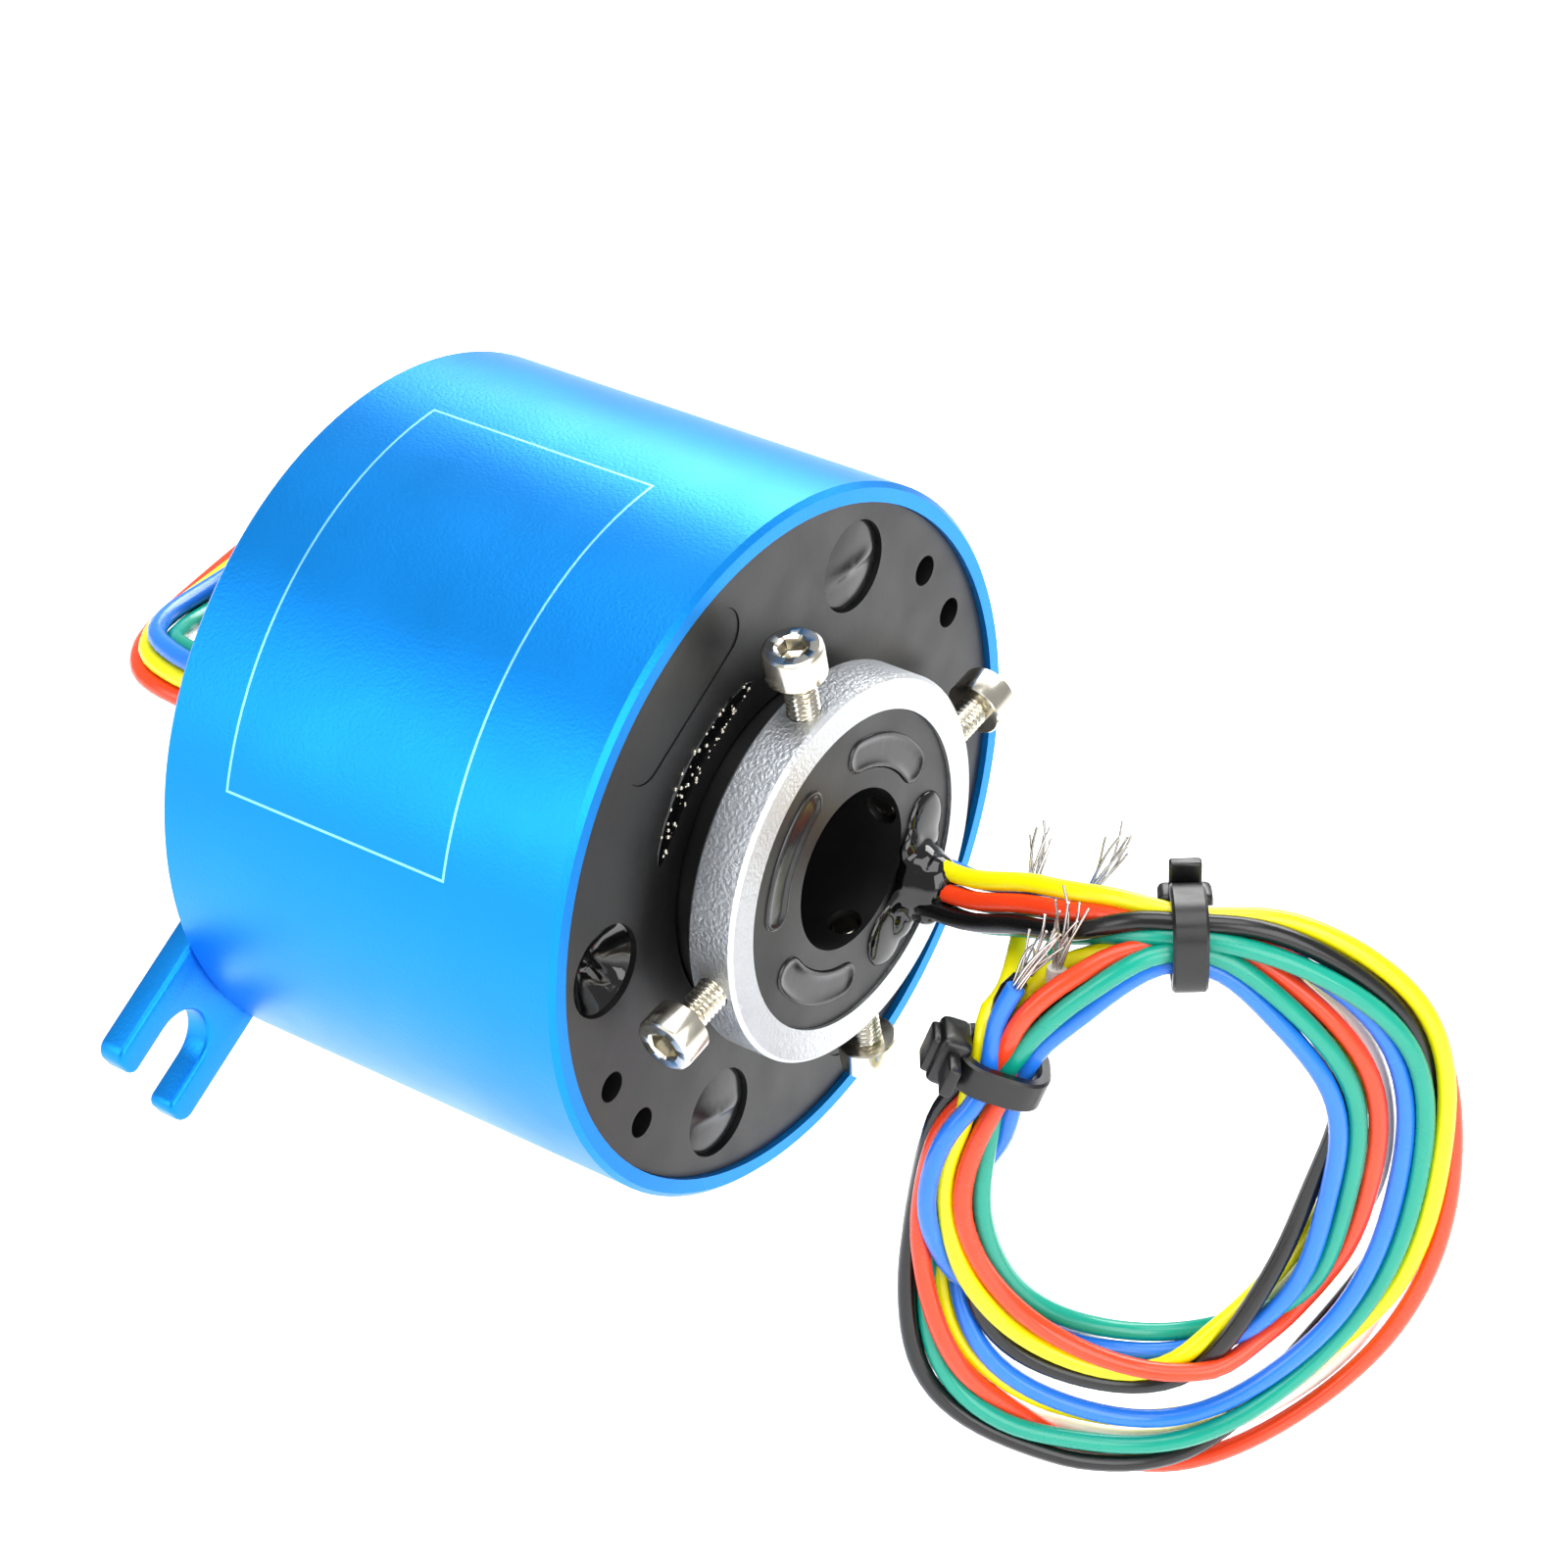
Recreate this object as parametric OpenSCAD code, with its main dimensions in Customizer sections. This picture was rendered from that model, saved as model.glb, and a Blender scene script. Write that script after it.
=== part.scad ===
// Through-bore slip ring for a 12.7 mm shaft, with six circuits.
// +X runs along the shaft towards the clamp collar and +Z is up.
// The origin lies on the shaft line, in the plane of the housing's rear rim.

/* [Housing] */
// Outside diameter of the housing
housing_od = 56; // [54:0.5:62]
// Length of the housing
housing_len = 37.4; // [37:0.2:46]
// Wall of the housing between the end caps
housing_wall = 2.6; // [2:0.1:2.8]
// Wall of the thin rims that hold the end caps
rim_wall = 1.5; // [1.1:0.1:1.8]
// Chamfer on the rim edges
rim_chamfer = 0.4; // [0.2:0.1:0.7]

/* [End caps] */
// Thickness of an end cap
cap_thick = 3.4; // [3:0.1:4.5]
// Depth of the front cap below the rim
front_recess = 0.5; // [0:0.1:1]
// Wall of the lip that keeps a bearing in its cap
cap_lip = 1; // [0.8:0.1:1.4]
// Wall between a round window and the bearing boss
window_gap_in = 0.35; // [0.3:0.05:1]
// Wall between a round window and the edge of the cap
window_gap_out = 1.4; // [1:0.1:2.4]
// Angle between a window and the line through the fork
window_angle = 33.5; // [31:0.5:38]
// Distance from the edge of the cap to the small screw holes
screw_hole_inset = 3.25; // [2.6:0.05:3.6]
// Distance between the two small screw holes of a pair
screw_hole_gap = 6.1; // [5.4:0.1:7]
// Diameter of the small screw holes
screw_hole_d = 2.4; // [2.3:0.1:2.8]
// Diameter of the hole that the stator leads leave by
lead_hole_d = 5.6; // [5.4:0.1:5.8]
// Wall of the bearing boss
boss_wall = 1.5; // [1:0.1:1.6]

/* [Anti-rotation bracket] */
// Direction in which the fork points
fork_angle = 213.4; // [205:0.2:216]
// Thickness of the bracket
fork_thick = 2.5; // [1.5:0.1:4]
// Width across both prongs
fork_width = 11.7; // [10.5:0.1:13]
// Width of the slot between the prongs
fork_slot = 5.9; // [5.8:0.1:6.5]
// Reach of the fork past the housing
fork_stick_out = 9.5; // [8:0.5:16]
// Distance from the housing to the closed end of the slot
fork_slot_start = 2.2; // [1:0.1:3]
// Radius of the bracket's corners
fork_corner = 1.2; // [0.6:0.1:1.5]

/* [Rotor] */
// Shaft bore
bore_d = 12.7; // [12:0.1:13.2]
// Distance that the rotor reaches past the front rim
rotor_reach = 5.6; // [5:0.1:8]
// Distance that the rotor reaches past the rear rim
rotor_tail = 2; // [1.5:0.1:4]
// Direction of the first clamp screw
rotor_angle = 14; // [0:1:30]
// Width of the four lead ducts in the rotor
duct_w = 2.6; // [2:0.1:2.8]
// Angle that each lead duct spans
duct_span = 68; // [50:1:70]

/* [Bearings] */
// Bore of the thin-section bearings
bearing_id = 25; // [24.8:0.1:25.4]
// Distance from the bore to the outside of the bearings
bearing_section = 3.5; // [3.3:0.1:3.7]
// Width of the bearings
bearing_w = 4; // [4:0.1:5]
// Number of balls in a bearing
ball_count = 18; // [12:1:20]
// Diameter of the balls
ball_d = 2; // [1.8:0.05:2.1]

/* [Rings and brushes] */
// Distance from the bore to the outside of the contact rings
ring_section = 2.1; // [1.9:0.1:2.4]
// Width of a contact ring
ring_w = 2.4; // [2.2:0.1:2.6]
// Depth of the brush groove in a ring
groove_depth = 0.7; // [0.5:0.05:0.8]
// Height of the insulating barriers above the rings
barrier_rise = 0.9; // [0.6:0.1:1.2]
// How much wider an end barrier is than the barriers between rings
end_barrier_extra = 0.65; // [0.4:0.05:0.8]
// Width of a brush block across the housing
block_w = 14.7; // [13:0.1:15]
// Thickness of a brush block
block_t = 4.1; // [3.5:0.1:4.5]
// Diameter of the brush wire
brush_d = 0.4; // [0.3:0.05:0.45]

/* [Clamp collar] */
// Wall of the clamp collar
collar_wall = 2.65; // [2:0.05:4]
// Length of the clamp collar
collar_len = 4; // [3.6:0.1:4.6]
// Diameter of the clamp screws
screw_d = 2.5; // [2:0.1:2.6]
// Length of a clamp screw under its head
screw_len = 12; // [11:0.5:14]
// Diameter of a clamp screw's head
head_d = 4.6; // [4:0.1:5]
// Height of a clamp screw's head
head_h = 2.6; // [2:0.1:3]
// Distance that the clamp screws are backed out from the shaft surface
backed_out = 0.3; // [0.2:0.05:1]

/* [Leads] */
// Diameter of a lead over its insulation
wire_d = 1.5; // [1.3:0.05:1.55]
// Distance between neighbouring leads in a loom
wire_pitch = 1.6; // [1.6:0.05:1.8]

/* [Hidden] */
$fn = 96;
fit_gap = 0.05;
loose_gap = 0.3;
circuits = 6;
clamp_screws = 4;
housing_r = housing_od / 2;
bore_r = bore_d / 2;
hub_r = bearing_id / 2 - fit_gap;
shoulder_h = 0.55;
shoulder_r = hub_r + shoulder_h;
ring_groove = 0.8;
cap_r = housing_r - rim_wall - fit_gap;
front_face = housing_len - front_recess;
rotor_front = housing_len + rotor_reach;
rotor_rear = -rotor_tail;
collar_front = rotor_front + loose_gap;
collar_mid = collar_front - collar_len / 2;
bearing_race_t = 1.15;
bearing_r = bearing_id / 2 + bearing_section;
track_r = bearing_id / 2 + bearing_section / 2;
boss_r = bearing_r + boss_wall;
window_r = (cap_r - boss_r - window_gap_in - window_gap_out) / 2;
window_mid = boss_r + window_gap_in + window_r;
screw_hole_mid = cap_r - screw_hole_inset;
block_shift = 0.225;
block_r = (boss_r + cap_r) / 2 - block_shift;
ring_r = hub_r + fit_gap + ring_section;
barrier_r = ring_r + barrier_rise;
rear_bearing_x = cap_lip;
front_bearing_x = front_face - cap_lip - bearing_w;
stack_start = rear_bearing_x + bearing_w;
stack_end = front_bearing_x;
barrier_w = (stack_end - stack_start - circuits * ring_w - 2 * end_barrier_extra) / (circuits + 1);
end_barrier_w = barrier_w + end_barrier_extra;
duct_r = (bore_r + hub_r) / 2 - 0.2;
duct_start = stack_start + 1;
slot_angle = fork_angle - 90;
lead_hole_angle = 155;
lead_hole_wall = 0.3;
lead_hole_mid = boss_r + lead_hole_wall + lead_hole_d / 2;
collar_bore_r = hub_r + fit_gap;
collar_r = collar_bore_r + collar_wall;
head_seat_r = bore_r + backed_out + screw_len;
blob_h = 1.4;
blob_r = 2.9;
cone_h = 2.5;
loom_twist = 30;
plug_depth = 0.4;
plug_t = 2;
rim_seat_front = front_face - cap_thick;

// Stator loom: from its potting behind the rear cap to the coil tucked behind the housing
stator_route = [
  [-2.5, -18.7, 8.7], [-6, -18.7, 8.7], [-9.8, -17.8, 9.6], [-12.4, -14.6, 10.6],
  [-13.4, -9.5, 10.6], [-13.5, -3, 10.1], [-13.5, 5, 10.1], [-13.5, 13, 10.1]
];
// Rotor loom: from its potting on the rotor's face to the tie at the top of the hanging coil
rotor_route = [
  [44.4, 8, -4.8], [48.5, 8, -4.8], [53.5, 8, -3.3], [58, 7.6, -2], [62.8, 7.2, -1.5]
];
stator_coil_mid = [-13.5, 19.5, 1];
stator_coil_r = 9;
stator_coil_w = 9.2;
stator_coil_t = 6.4;
rotor_coil_mid = [67.2, 8.9, -24.8];
rotor_coil_turn = 36;
rotor_coil_r = 20.5;
rotor_coil_straight = 13.5;
rotor_coil_t = 6.4;
coil_gap_r = 12.5;
coil_gap_straight = 10.8;
coil_gap_shift = [-2, 2.2];
tie_t = 1;
tie_w = 2.6;
tie_gap = 0.3;
sides = 8;

// Turns a profile of [radius, x] points about the shaft line
module spun(points) {
  rotate([0, 90, 0]) rotate_extrude($fn = 128) polygon(points);
}

// Places a child at an angle round the shaft line: its +Y points outwards
module around(angle) {
  rotate([angle, 0, 0]) children();
}

// A rod along +X
module rod(r, x0, x1, y = 0, z = 0, fn = 48) {
  translate([x0, y, z]) rotate([0, 90, 0]) cylinder(r = r, h = x1 - x0, $fn = fn);
}

// A rod along +Y from one radius to another
module spoke(r, y0, y1, x = 0, z = 0, fn = 48) {
  translate([x, y0, z]) rotate([-90, 0, 0]) cylinder(r = r, h = y1 - y0, $fn = fn);
}

// A flat bar along +X with round edges, standing across the radius
module round_bar(w, t, x0, x1) {
  straight = w - t;
  translate([x0, -t / 2, -straight / 2]) cube([x1 - x0, t, straight]);
  rod(t / 2, x0, x1, 0, straight / 2);
  rod(t / 2, x0, x1, 0, -straight / 2);
}

module stator_housing() {
  c = rim_chamfer;
  r_in = housing_r - housing_wall;
  r_rim = housing_r - rim_wall;
  color("dodgerblue") spun([
    [r_rim, 0], [housing_r - c, 0], [housing_r, c], [housing_r, housing_len - c],
    [housing_r - c, housing_len], [r_rim, housing_len], [r_rim, rim_seat_front],
    [r_in, rim_seat_front], [r_in, cap_thick], [r_rim, cap_thick]
  ]);
}

// The holes that both caps share, cut through from x0 to x1
module cap_holes(x0, x1) {
  for (side = [0, 180], hand = [-1, 1]) around(fork_angle + side) {
    around(hand * window_angle) rod(window_r, x0, x1, window_mid);
    rod(screw_hole_d / 2, x0, x1, screw_hole_mid, hand * screw_hole_gap / 2);
  }
  for (side = [0, 180]) around(slot_angle + side) translate([0, block_r, 0])
    round_bar(block_w + 2 * fit_gap, block_t + 2 * fit_gap, x0, x1);
}

// Profile of an end cap with its bearing seat; the outer face is at z = 0
module cap_body() {
  seat_r = bearing_r + fit_gap;
  rotate_extrude($fn = 128) polygon([
    [shoulder_r + loose_gap, 0], [cap_r, 0], [cap_r, cap_thick], [boss_r, cap_thick],
    [boss_r, cap_lip + bearing_w], [seat_r, cap_lip + bearing_w], [seat_r, cap_lip],
    [shoulder_r + loose_gap, cap_lip]
  ]);
}

module front_end_cap() {
  color("dimgray") difference() {
    translate([front_face, 0, 0]) rotate([0, -90, 0]) cap_body();
    cap_holes(rim_seat_front - 1, front_face + 1);
  }
}

module rear_end_cap() {
  color("dimgray") difference() {
    rotate([0, 90, 0]) cap_body();
    cap_holes(-1, cap_thick + 1);
    around(lead_hole_angle) rod(lead_hole_d / 2, -1, cap_thick + 1, lead_hole_mid);
  }
}

// Potting that closes the four windows of one cap
module window_potting(x0) {
  for (side = [0, 180], hand = [-1, 1]) around(fork_angle + side + hand * window_angle)
    rod(window_r - fit_gap, x0, x0 + plug_t, window_mid);
}

module front_window_potting() {
  color([0.08, 0.08, 0.09]) window_potting(front_face - plug_depth - plug_t);
}

module rear_window_potting() {
  color([0.08, 0.08, 0.09]) window_potting(plug_depth);
}

// Flat bracket with a fork; its front face lies on the housing's rear rim
module anti_rotation_bracket() {
  inner = screw_hole_mid - 3 * screw_hole_d / 2;
  corner = fork_corner;
  reach = housing_r + fork_stick_out;
  slot_r = fork_slot / 2;
  slot_mid = housing_r + fork_slot_start + slot_r;
  half = fork_width / 2;
  color("dodgerblue") around(fork_angle) difference() {
    union() {
      translate([-fork_thick, inner + corner, -half]) cube([fork_thick, reach - inner - 2 * corner, fork_width]);
      translate([-fork_thick, inner, corner - half]) cube([fork_thick, reach - inner, fork_width - 2 * corner]);
      for (hand = [-1, 1], y = [inner + corner, reach - corner])
        rod(corner, -fork_thick, 0, y, hand * (half - corner));
    }
    rod(slot_r, -fork_thick - 1, 1, slot_mid);
    translate([-fork_thick - 1, slot_mid, -slot_r]) cube([fork_thick + 2, reach, fork_slot]);
    for (hand = [-1, 1])
      rod(screw_hole_d / 2 + fit_gap, -fork_thick - 1, 1, screw_hole_mid, hand * screw_hole_gap / 2);
  }
}

// The two pan-head screws that hold the bracket to the rear cap
module bracket_screws() {
  head_r = 2.2;
  head_t = 1.4;
  x_head = -fork_thick - head_t;
  color("silver") around(fork_angle) for (hand = [-1, 1]) translate([0, screw_hole_mid, hand * screw_hole_gap / 2])
    difference() {
      union() {
        translate([x_head, 0, 0]) rotate([0, 90, 0]) cylinder(r1 = head_r - 0.4, r2 = head_r, h = 0.5, $fn = 48);
        rod(head_r, x_head + 0.5, -fork_thick);
        rod(screw_hole_d / 2 - fit_gap, -fork_thick, cap_thick + 1);
      }
      for (turn = [0, 90]) rotate([turn, 0, 0]) translate([x_head - 0.1, -1.2, -0.25]) cube([0.9, 2.4, 0.5]);
    }
}

// One brush block: a bar whose ends sit in the slots of both caps
module brush_block() {
  translate([0, block_r, 0]) round_bar(block_w, block_t, 0.1, front_face - 0.1);
}

module brush_block_a() {
  color([0.12, 0.12, 0.13]) around(slot_angle) brush_block();
}

module brush_block_b() {
  color([0.12, 0.12, 0.13]) around(slot_angle + 180) brush_block();
}

function ring_x(i) = stack_start + end_barrier_w + ring_w / 2 + i * (ring_w + barrier_w);

// Two springy wires per circuit leave the block and straddle the ring in its groove
module brush_wires() {
  start_y = block_r - block_t / 2 - 0.15;
  start_z = block_w / 2 - block_t / 2 - 0.2;
  wire_r = ring_r - groove_depth + brush_d / 2 + 0.2;
  reach = norm([start_y, start_z]);
  bend = atan2(start_y, start_z) - acos(wire_r / reach);
  lean = 90 - bend;
  wire_len = sqrt(reach * reach - wire_r * wire_r) + 2.5;
  for (i = [0 : circuits - 1], hand = [-1, 1])
    translate([ring_x(i), start_y, hand * start_z]) rotate([hand * lean, 0, 0])
      spoke(brush_d / 2, -wire_len, 0, 0, 0, 16);
}

module brush_wires_a() {
  color("gold") around(slot_angle) brush_wires();
}

module brush_wires_b() {
  color("gold") around(slot_angle + 180) brush_wires();
}

// A kidney-shaped bar round the shaft line, with round ends
module kidney(w, span, x0, x1) {
  trim = asin(w / 2 / duct_r);
  turn = span - 2 * trim;
  translate([x0, 0, 0]) rotate([0, 90, 0]) rotate([0, 0, 90 - turn / 2])
    rotate_extrude(angle = turn, $fn = 96) translate([duct_r - w / 2, 0]) square([w, x1 - x0]);
  for (hand = [-1, 1]) around(hand * turn / 2) rod(w / 2 - fit_gap, x0, x1, duct_r);
}

module rotor_sleeve() {
  groove_r = hub_r - ring_groove;
  collar_rear = collar_front - collar_len;
  color([0.1, 0.1, 0.11]) difference() {
    spun([
      [bore_r, rotor_rear], [hub_r, rotor_rear], [hub_r, 0], [groove_r, 0],
      [groove_r, cap_lip], [hub_r, cap_lip], [hub_r, front_bearing_x + bearing_w],
      [shoulder_r, front_bearing_x + bearing_w], [shoulder_r, collar_rear],
      [hub_r, collar_rear], [hub_r, rotor_front], [bore_r, rotor_front]
    ]);
    for (i = [0 : clamp_screws - 1]) around(rotor_angle + 45 + i * 90)
      kidney(duct_w, duct_span, duct_start, rotor_front + 1);
    for (i = [0 : clamp_screws - 1]) around(rotor_angle + i * 90)
      spoke(screw_d / 2 + fit_gap, bore_r - 1, hub_r + 1, collar_mid);
  }
}

// A contact ring with a V groove for its brushes
module contact_ring(i) {
  r = ring_r;
  h = ring_w / 2;
  color("gold") translate([ring_x(i), 0, 0]) spun([
    [hub_r + fit_gap, -h], [r, -h], [r, -groove_depth], [r - groove_depth, 0],
    [r, groove_depth], [r, h], [hub_r + fit_gap, h]
  ]);
}

module contact_ring_1() { contact_ring(0); }
module contact_ring_2() { contact_ring(1); }
module contact_ring_3() { contact_ring(2); }
module contact_ring_4() { contact_ring(3); }
module contact_ring_5() { contact_ring(4); }
module contact_ring_6() { contact_ring(5); }

// A plain ring round the sleeve
module barrier(x, w) {
  r_in = hub_r + fit_gap;
  spun([[r_in, x], [barrier_r, x], [barrier_r, x + w], [r_in, x + w]]);
}

module ring_barriers() {
  color("ivory") for (i = [0 : circuits - 2]) barrier(ring_x(i) + ring_w / 2, barrier_w);
}

// The two end barriers stand off the outer races, so only their inner part meets the inner races
module end_barriers() {
  r_in = hub_r + fit_gap;
  r_low = r_in + bearing_race_t;
  r_out = barrier_r;
  s = stack_start;
  e = stack_end;
  color("ivory") {
    spun([[r_in, s], [r_low, s], [r_low, s + 0.5], [r_out, s + 0.5], [r_out, s + end_barrier_w], [r_in, s + end_barrier_w]]);
    spun([[r_in, e], [r_low, e], [r_low, e - 0.5], [r_out, e - 0.5], [r_out, e - end_barrier_w], [r_in, e - end_barrier_w]]);
  }
}

// An open spring ring in the sleeve's groove, which holds the stack and both bearings
module rear_retaining_ring() {
  r_in = hub_r - ring_groove + fit_gap;
  color("silver") difference() {
    spun([[r_in, 0.02], [shoulder_r, 0.02], [shoulder_r, cap_lip], [r_in, cap_lip]]);
    around(300) translate([-1, 0, -2]) cube([cap_lip + 2, housing_r, 4]);
  }
}

module outer_race(x) {
  r = bearing_r;
  color("lightgray") difference() {
    spun([[r - bearing_race_t, x], [r, x], [r, x + bearing_w], [r - bearing_race_t, x + bearing_w]]);
    translate([x + bearing_w / 2, 0, 0]) rotate([0, 90, 0]) rotate_extrude($fn = 128)
      translate([track_r, 0]) circle(r = ball_d / 2 + fit_gap, $fn = 32);
  }
}

module inner_race(x) {
  r = bearing_id / 2;
  color("lightgray") difference() {
    spun([[r, x], [r + bearing_race_t, x], [r + bearing_race_t, x + bearing_w], [r, x + bearing_w]]);
    translate([x + bearing_w / 2, 0, 0]) rotate([0, 90, 0]) rotate_extrude($fn = 128)
      translate([track_r, 0]) circle(r = ball_d / 2 + fit_gap, $fn = 32);
  }
}

module balls(x) {
  color("silver") for (i = [0 : ball_count - 1]) around(i * 360 / ball_count)
    translate([x + bearing_w / 2, track_r, 0]) sphere(r = ball_d / 2, $fn = 24);
}

module front_bearing_outer_race() { outer_race(front_bearing_x); }
module front_bearing_inner_race() { inner_race(front_bearing_x); }
module front_bearing_balls() { balls(front_bearing_x); }
module rear_bearing_outer_race() { outer_race(rear_bearing_x); }
module rear_bearing_inner_race() { inner_race(rear_bearing_x); }
module rear_bearing_balls() { balls(rear_bearing_x); }

// Potting that closes the four lead ducts at the rotor's face
module duct_potting() {
  color([0.16, 0.16, 0.17]) for (i = [0 : clamp_screws - 1]) around(rotor_angle + 45 + i * 90)
    kidney(duct_w - 2 * fit_gap, duct_span - 1, rotor_front - 2, rotor_front - 0.1);
}

module clamp_collar() {
  c = 0.3;
  r = collar_r;
  x0 = collar_front - collar_len;
  color("silver") difference() {
    spun([
      [collar_bore_r, x0], [r - c, x0], [r, x0 + c], [r, collar_front - c],
      [r - c, collar_front], [collar_bore_r, collar_front]
    ]);
    for (i = [0 : clamp_screws - 1]) around(rotor_angle + i * 90)
      spoke(screw_d / 2 + fit_gap, collar_bore_r - 1, r + 1, collar_mid);
  }
}

// A socket-head clamp screw, backed out so that its tip is clear of the bore
module clamp_screw(i) {
  hex_r = head_d * 0.26;
  tip = head_seat_r - screw_len;
  c = 0.25;
  color("gainsboro") around(rotor_angle + i * 90) translate([collar_mid, 0, 0]) rotate([-90, 0, 0]) difference() {
    rotate_extrude($fn = 64) polygon([
      [0, tip], [screw_d / 2 - c, tip], [screw_d / 2, tip + c], [screw_d / 2, head_seat_r],
      [head_d / 2, head_seat_r], [head_d / 2, head_seat_r + head_h - c],
      [head_d / 2 - c, head_seat_r + head_h], [0, head_seat_r + head_h]
    ]);
    translate([0, 0, head_seat_r + head_h - head_h * 0.55]) cylinder(r = hex_r, h = head_h, $fn = 6);
  }
}

module clamp_screw_1() { clamp_screw(0); }
module clamp_screw_2() { clamp_screw(1); }
module clamp_screw_3() { clamp_screw(2); }
module clamp_screw_4() { clamp_screw(3); }

// A low drop of potting round the rotor's leads
module rotor_lead_potting() {
  p = rotor_route[0];
  color([0.05, 0.05, 0.06]) rod(blob_r, rotor_front, rotor_front + blob_h, p.y, p.z);
}

// A cone of potting round the stator's leads, with a stem in the cap's hole
module stator_lead_potting() {
  color([0.05, 0.05, 0.06]) around(lead_hole_angle) translate([0, lead_hole_mid, 0]) {
    rod(lead_hole_d / 2 - fit_gap, 0, 2.5);
    translate([-cone_h, 0, 0]) rotate([0, 90, 0]) cylinder(r1 = blob_r, r2 = blob_r + 0.6, h = cone_h, $fn = 48);
  }
}

function unit(v) = v / norm(v);

// Direction of a route at point i
function heading(route, i) =
  let (n = len(route) - 1) unit(route[min(i + 1, n)] - route[max(i - 1, 0)]);

// A lead's route in a loom: u and v are its place in the bundle, which turns evenly along the route
function in_loom(route, u, v, turn0, turn1) = [
  for (i = [0 : len(route) - 1])
    let (
      t = heading(route, i),
      side = unit(cross(t, [0, 0, 1])),
      up = cross(side, t),
      a = turn0 + (turn1 - turn0) * i / (len(route) - 1)
    )
    route[i] + side * (u * cos(a) - v * sin(a)) + up * (u * sin(a) + v * cos(a))
];

// A tube along a route, with one ring of corners at each point
module tube(route, d) {
  n = len(route);
  corners = [
    for (i = [0 : n - 1])
      let (t = heading(route, i), side = unit(cross(t, [0, 0, 1])), up = cross(side, t))
      for (k = [0 : sides - 1])
        route[i] + d / 2 * (side * cos(k * 360 / sides) + up * sin(k * 360 / sides))
  ];
  walls = [
    for (i = [0 : n - 2], k = [0 : sides - 1])
      let (a = i * sides + k, b = i * sides + (k + 1) % sides)
      each [[a, a + sides, b], [b, a + sides, b + sides]]
  ];
  back = [for (k = [0 : sides - 1]) k];
  front = [for (k = [0 : sides - 1]) n * sides - 1 - k];
  polyhedron(corners, concat(walls, [back, front]), convexity = 6);
}

module rotor_lead(u, v) {
  tube(in_loom(rotor_route, u * wire_pitch / 2, v * wire_pitch, 0, loom_twist), wire_d);
}

module rotor_lead_yellow() { color("yellow") rotor_lead(1, 1); }
module rotor_lead_red() { color("orangered") rotor_lead(1, 0); }
module rotor_lead_black() { color("black") rotor_lead(1, -1); }
module rotor_lead_blue() { color("royalblue") rotor_lead(-1, 1); }
module rotor_lead_white() { color("white") rotor_lead(-1, 0); }
module rotor_lead_green() { color("seagreen") rotor_lead(-1, -1); }

module stator_lead(u, v) {
  tube(in_loom(stator_route, u * wire_pitch / 2, v * wire_pitch, 0, 3 * loom_twist), wire_d);
}

module stator_lead_red() { color("orangered") stator_lead(-1, -1); }
module stator_lead_yellow() { color("yellow") stator_lead(-1, 0); }
module stator_lead_blue() { color("royalblue") stator_lead(-1, 1); }
module stator_lead_black() { color("black") stator_lead(1, -1); }
module stator_lead_white() { color("white") stator_lead(1, 0); }
module stator_lead_green() { color("seagreen") stator_lead(1, 1); }

// A square with rounded corners, centred on the origin
module soft_square(w, h, r) {
  square([w - 2 * r, h], center = true);
  square([w, h - 2 * r], center = true);
  for (x = [-1, 1], y = [-1, 1]) translate([x * (w / 2 - r), y * (h / 2 - r)]) circle(r = r, $fn = 24);
}

// An upright oval of half width r, with straight sides
module oval(r, straight) {
  square([2 * r, straight], center = true);
  for (y = [-1, 1]) translate([0, y * straight / 2]) circle(r = r);
}

// Moves a child from the coil's own upright plane to where the rotor's coil hangs
module in_rotor_coil() {
  translate(rotor_coil_mid) rotate([0, 0, rotor_coil_turn]) rotate([90, 0, 0]) children();
}

module rotor_lead_coil() {
  color("goldenrod") in_rotor_coil() linear_extrude(rotor_coil_t, center = true) difference() {
    oval(rotor_coil_r, rotor_coil_straight);
    translate(coil_gap_shift) oval(coil_gap_r, coil_gap_straight);
  }
}

// A cable tie: a flat band round a bundle of w by h, with its head on one side
module cable_tie(w, h) {
  inner_w = w + 2 * tie_gap;
  inner_h = h + 2 * tie_gap;
  head = 4;
  translate([0, 0, -tie_w / 2]) linear_extrude(tie_w) difference() {
    soft_square(inner_w + 2 * tie_t, inner_h + 2 * tie_t, 1.5);
    soft_square(inner_w, inner_h, 0.5);
  }
  translate([-inner_w / 2 - tie_t - 2.4, -head / 2, -head / 2]) cube([2.4, head, head]);
}

// Thickness of the loom at an angle round the upper bend of the coil
function loom_at(angle) =
  let (rise = coil_gap_shift.y + (coil_gap_straight - rotor_coil_straight) / 2)
  rotor_coil_r - coil_gap_r - coil_gap_shift.x * cos(angle) - rise * sin(angle);

// The ties sit square to the bundle, at an angle round the upper bend of the coil
module tie_on_rotor_coil(angle) {
  in_rotor_coil() translate([0, rotor_coil_straight / 2, 0]) rotate([0, 0, angle])
    translate([rotor_coil_r - loom_at(angle) / 2, 0, 0]) rotate([-90, 0, 0]) rotate([0, 0, 180])
      cable_tie(loom_at(angle), rotor_coil_t);
}

module rotor_cable_tie_1() { color([0.07, 0.07, 0.07]) tie_on_rotor_coil(94); }
module rotor_cable_tie_2() { color([0.07, 0.07, 0.07]) tie_on_rotor_coil(162); }

module stator_lead_coil() {
  color("goldenrod") translate(stator_coil_mid) rotate([0, 90, 0]) rotate_extrude($fn = 64)
    translate([stator_coil_r, 0]) soft_square(stator_coil_t, stator_coil_w, 2);
}

module stator_cable_tie() {
  color([0.07, 0.07, 0.07]) translate(stator_coil_mid) around(-70)
    translate([0, stator_coil_r, 0]) rotate([0, 0, -90]) cable_tie(stator_coil_t, stator_coil_w);
}

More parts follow.
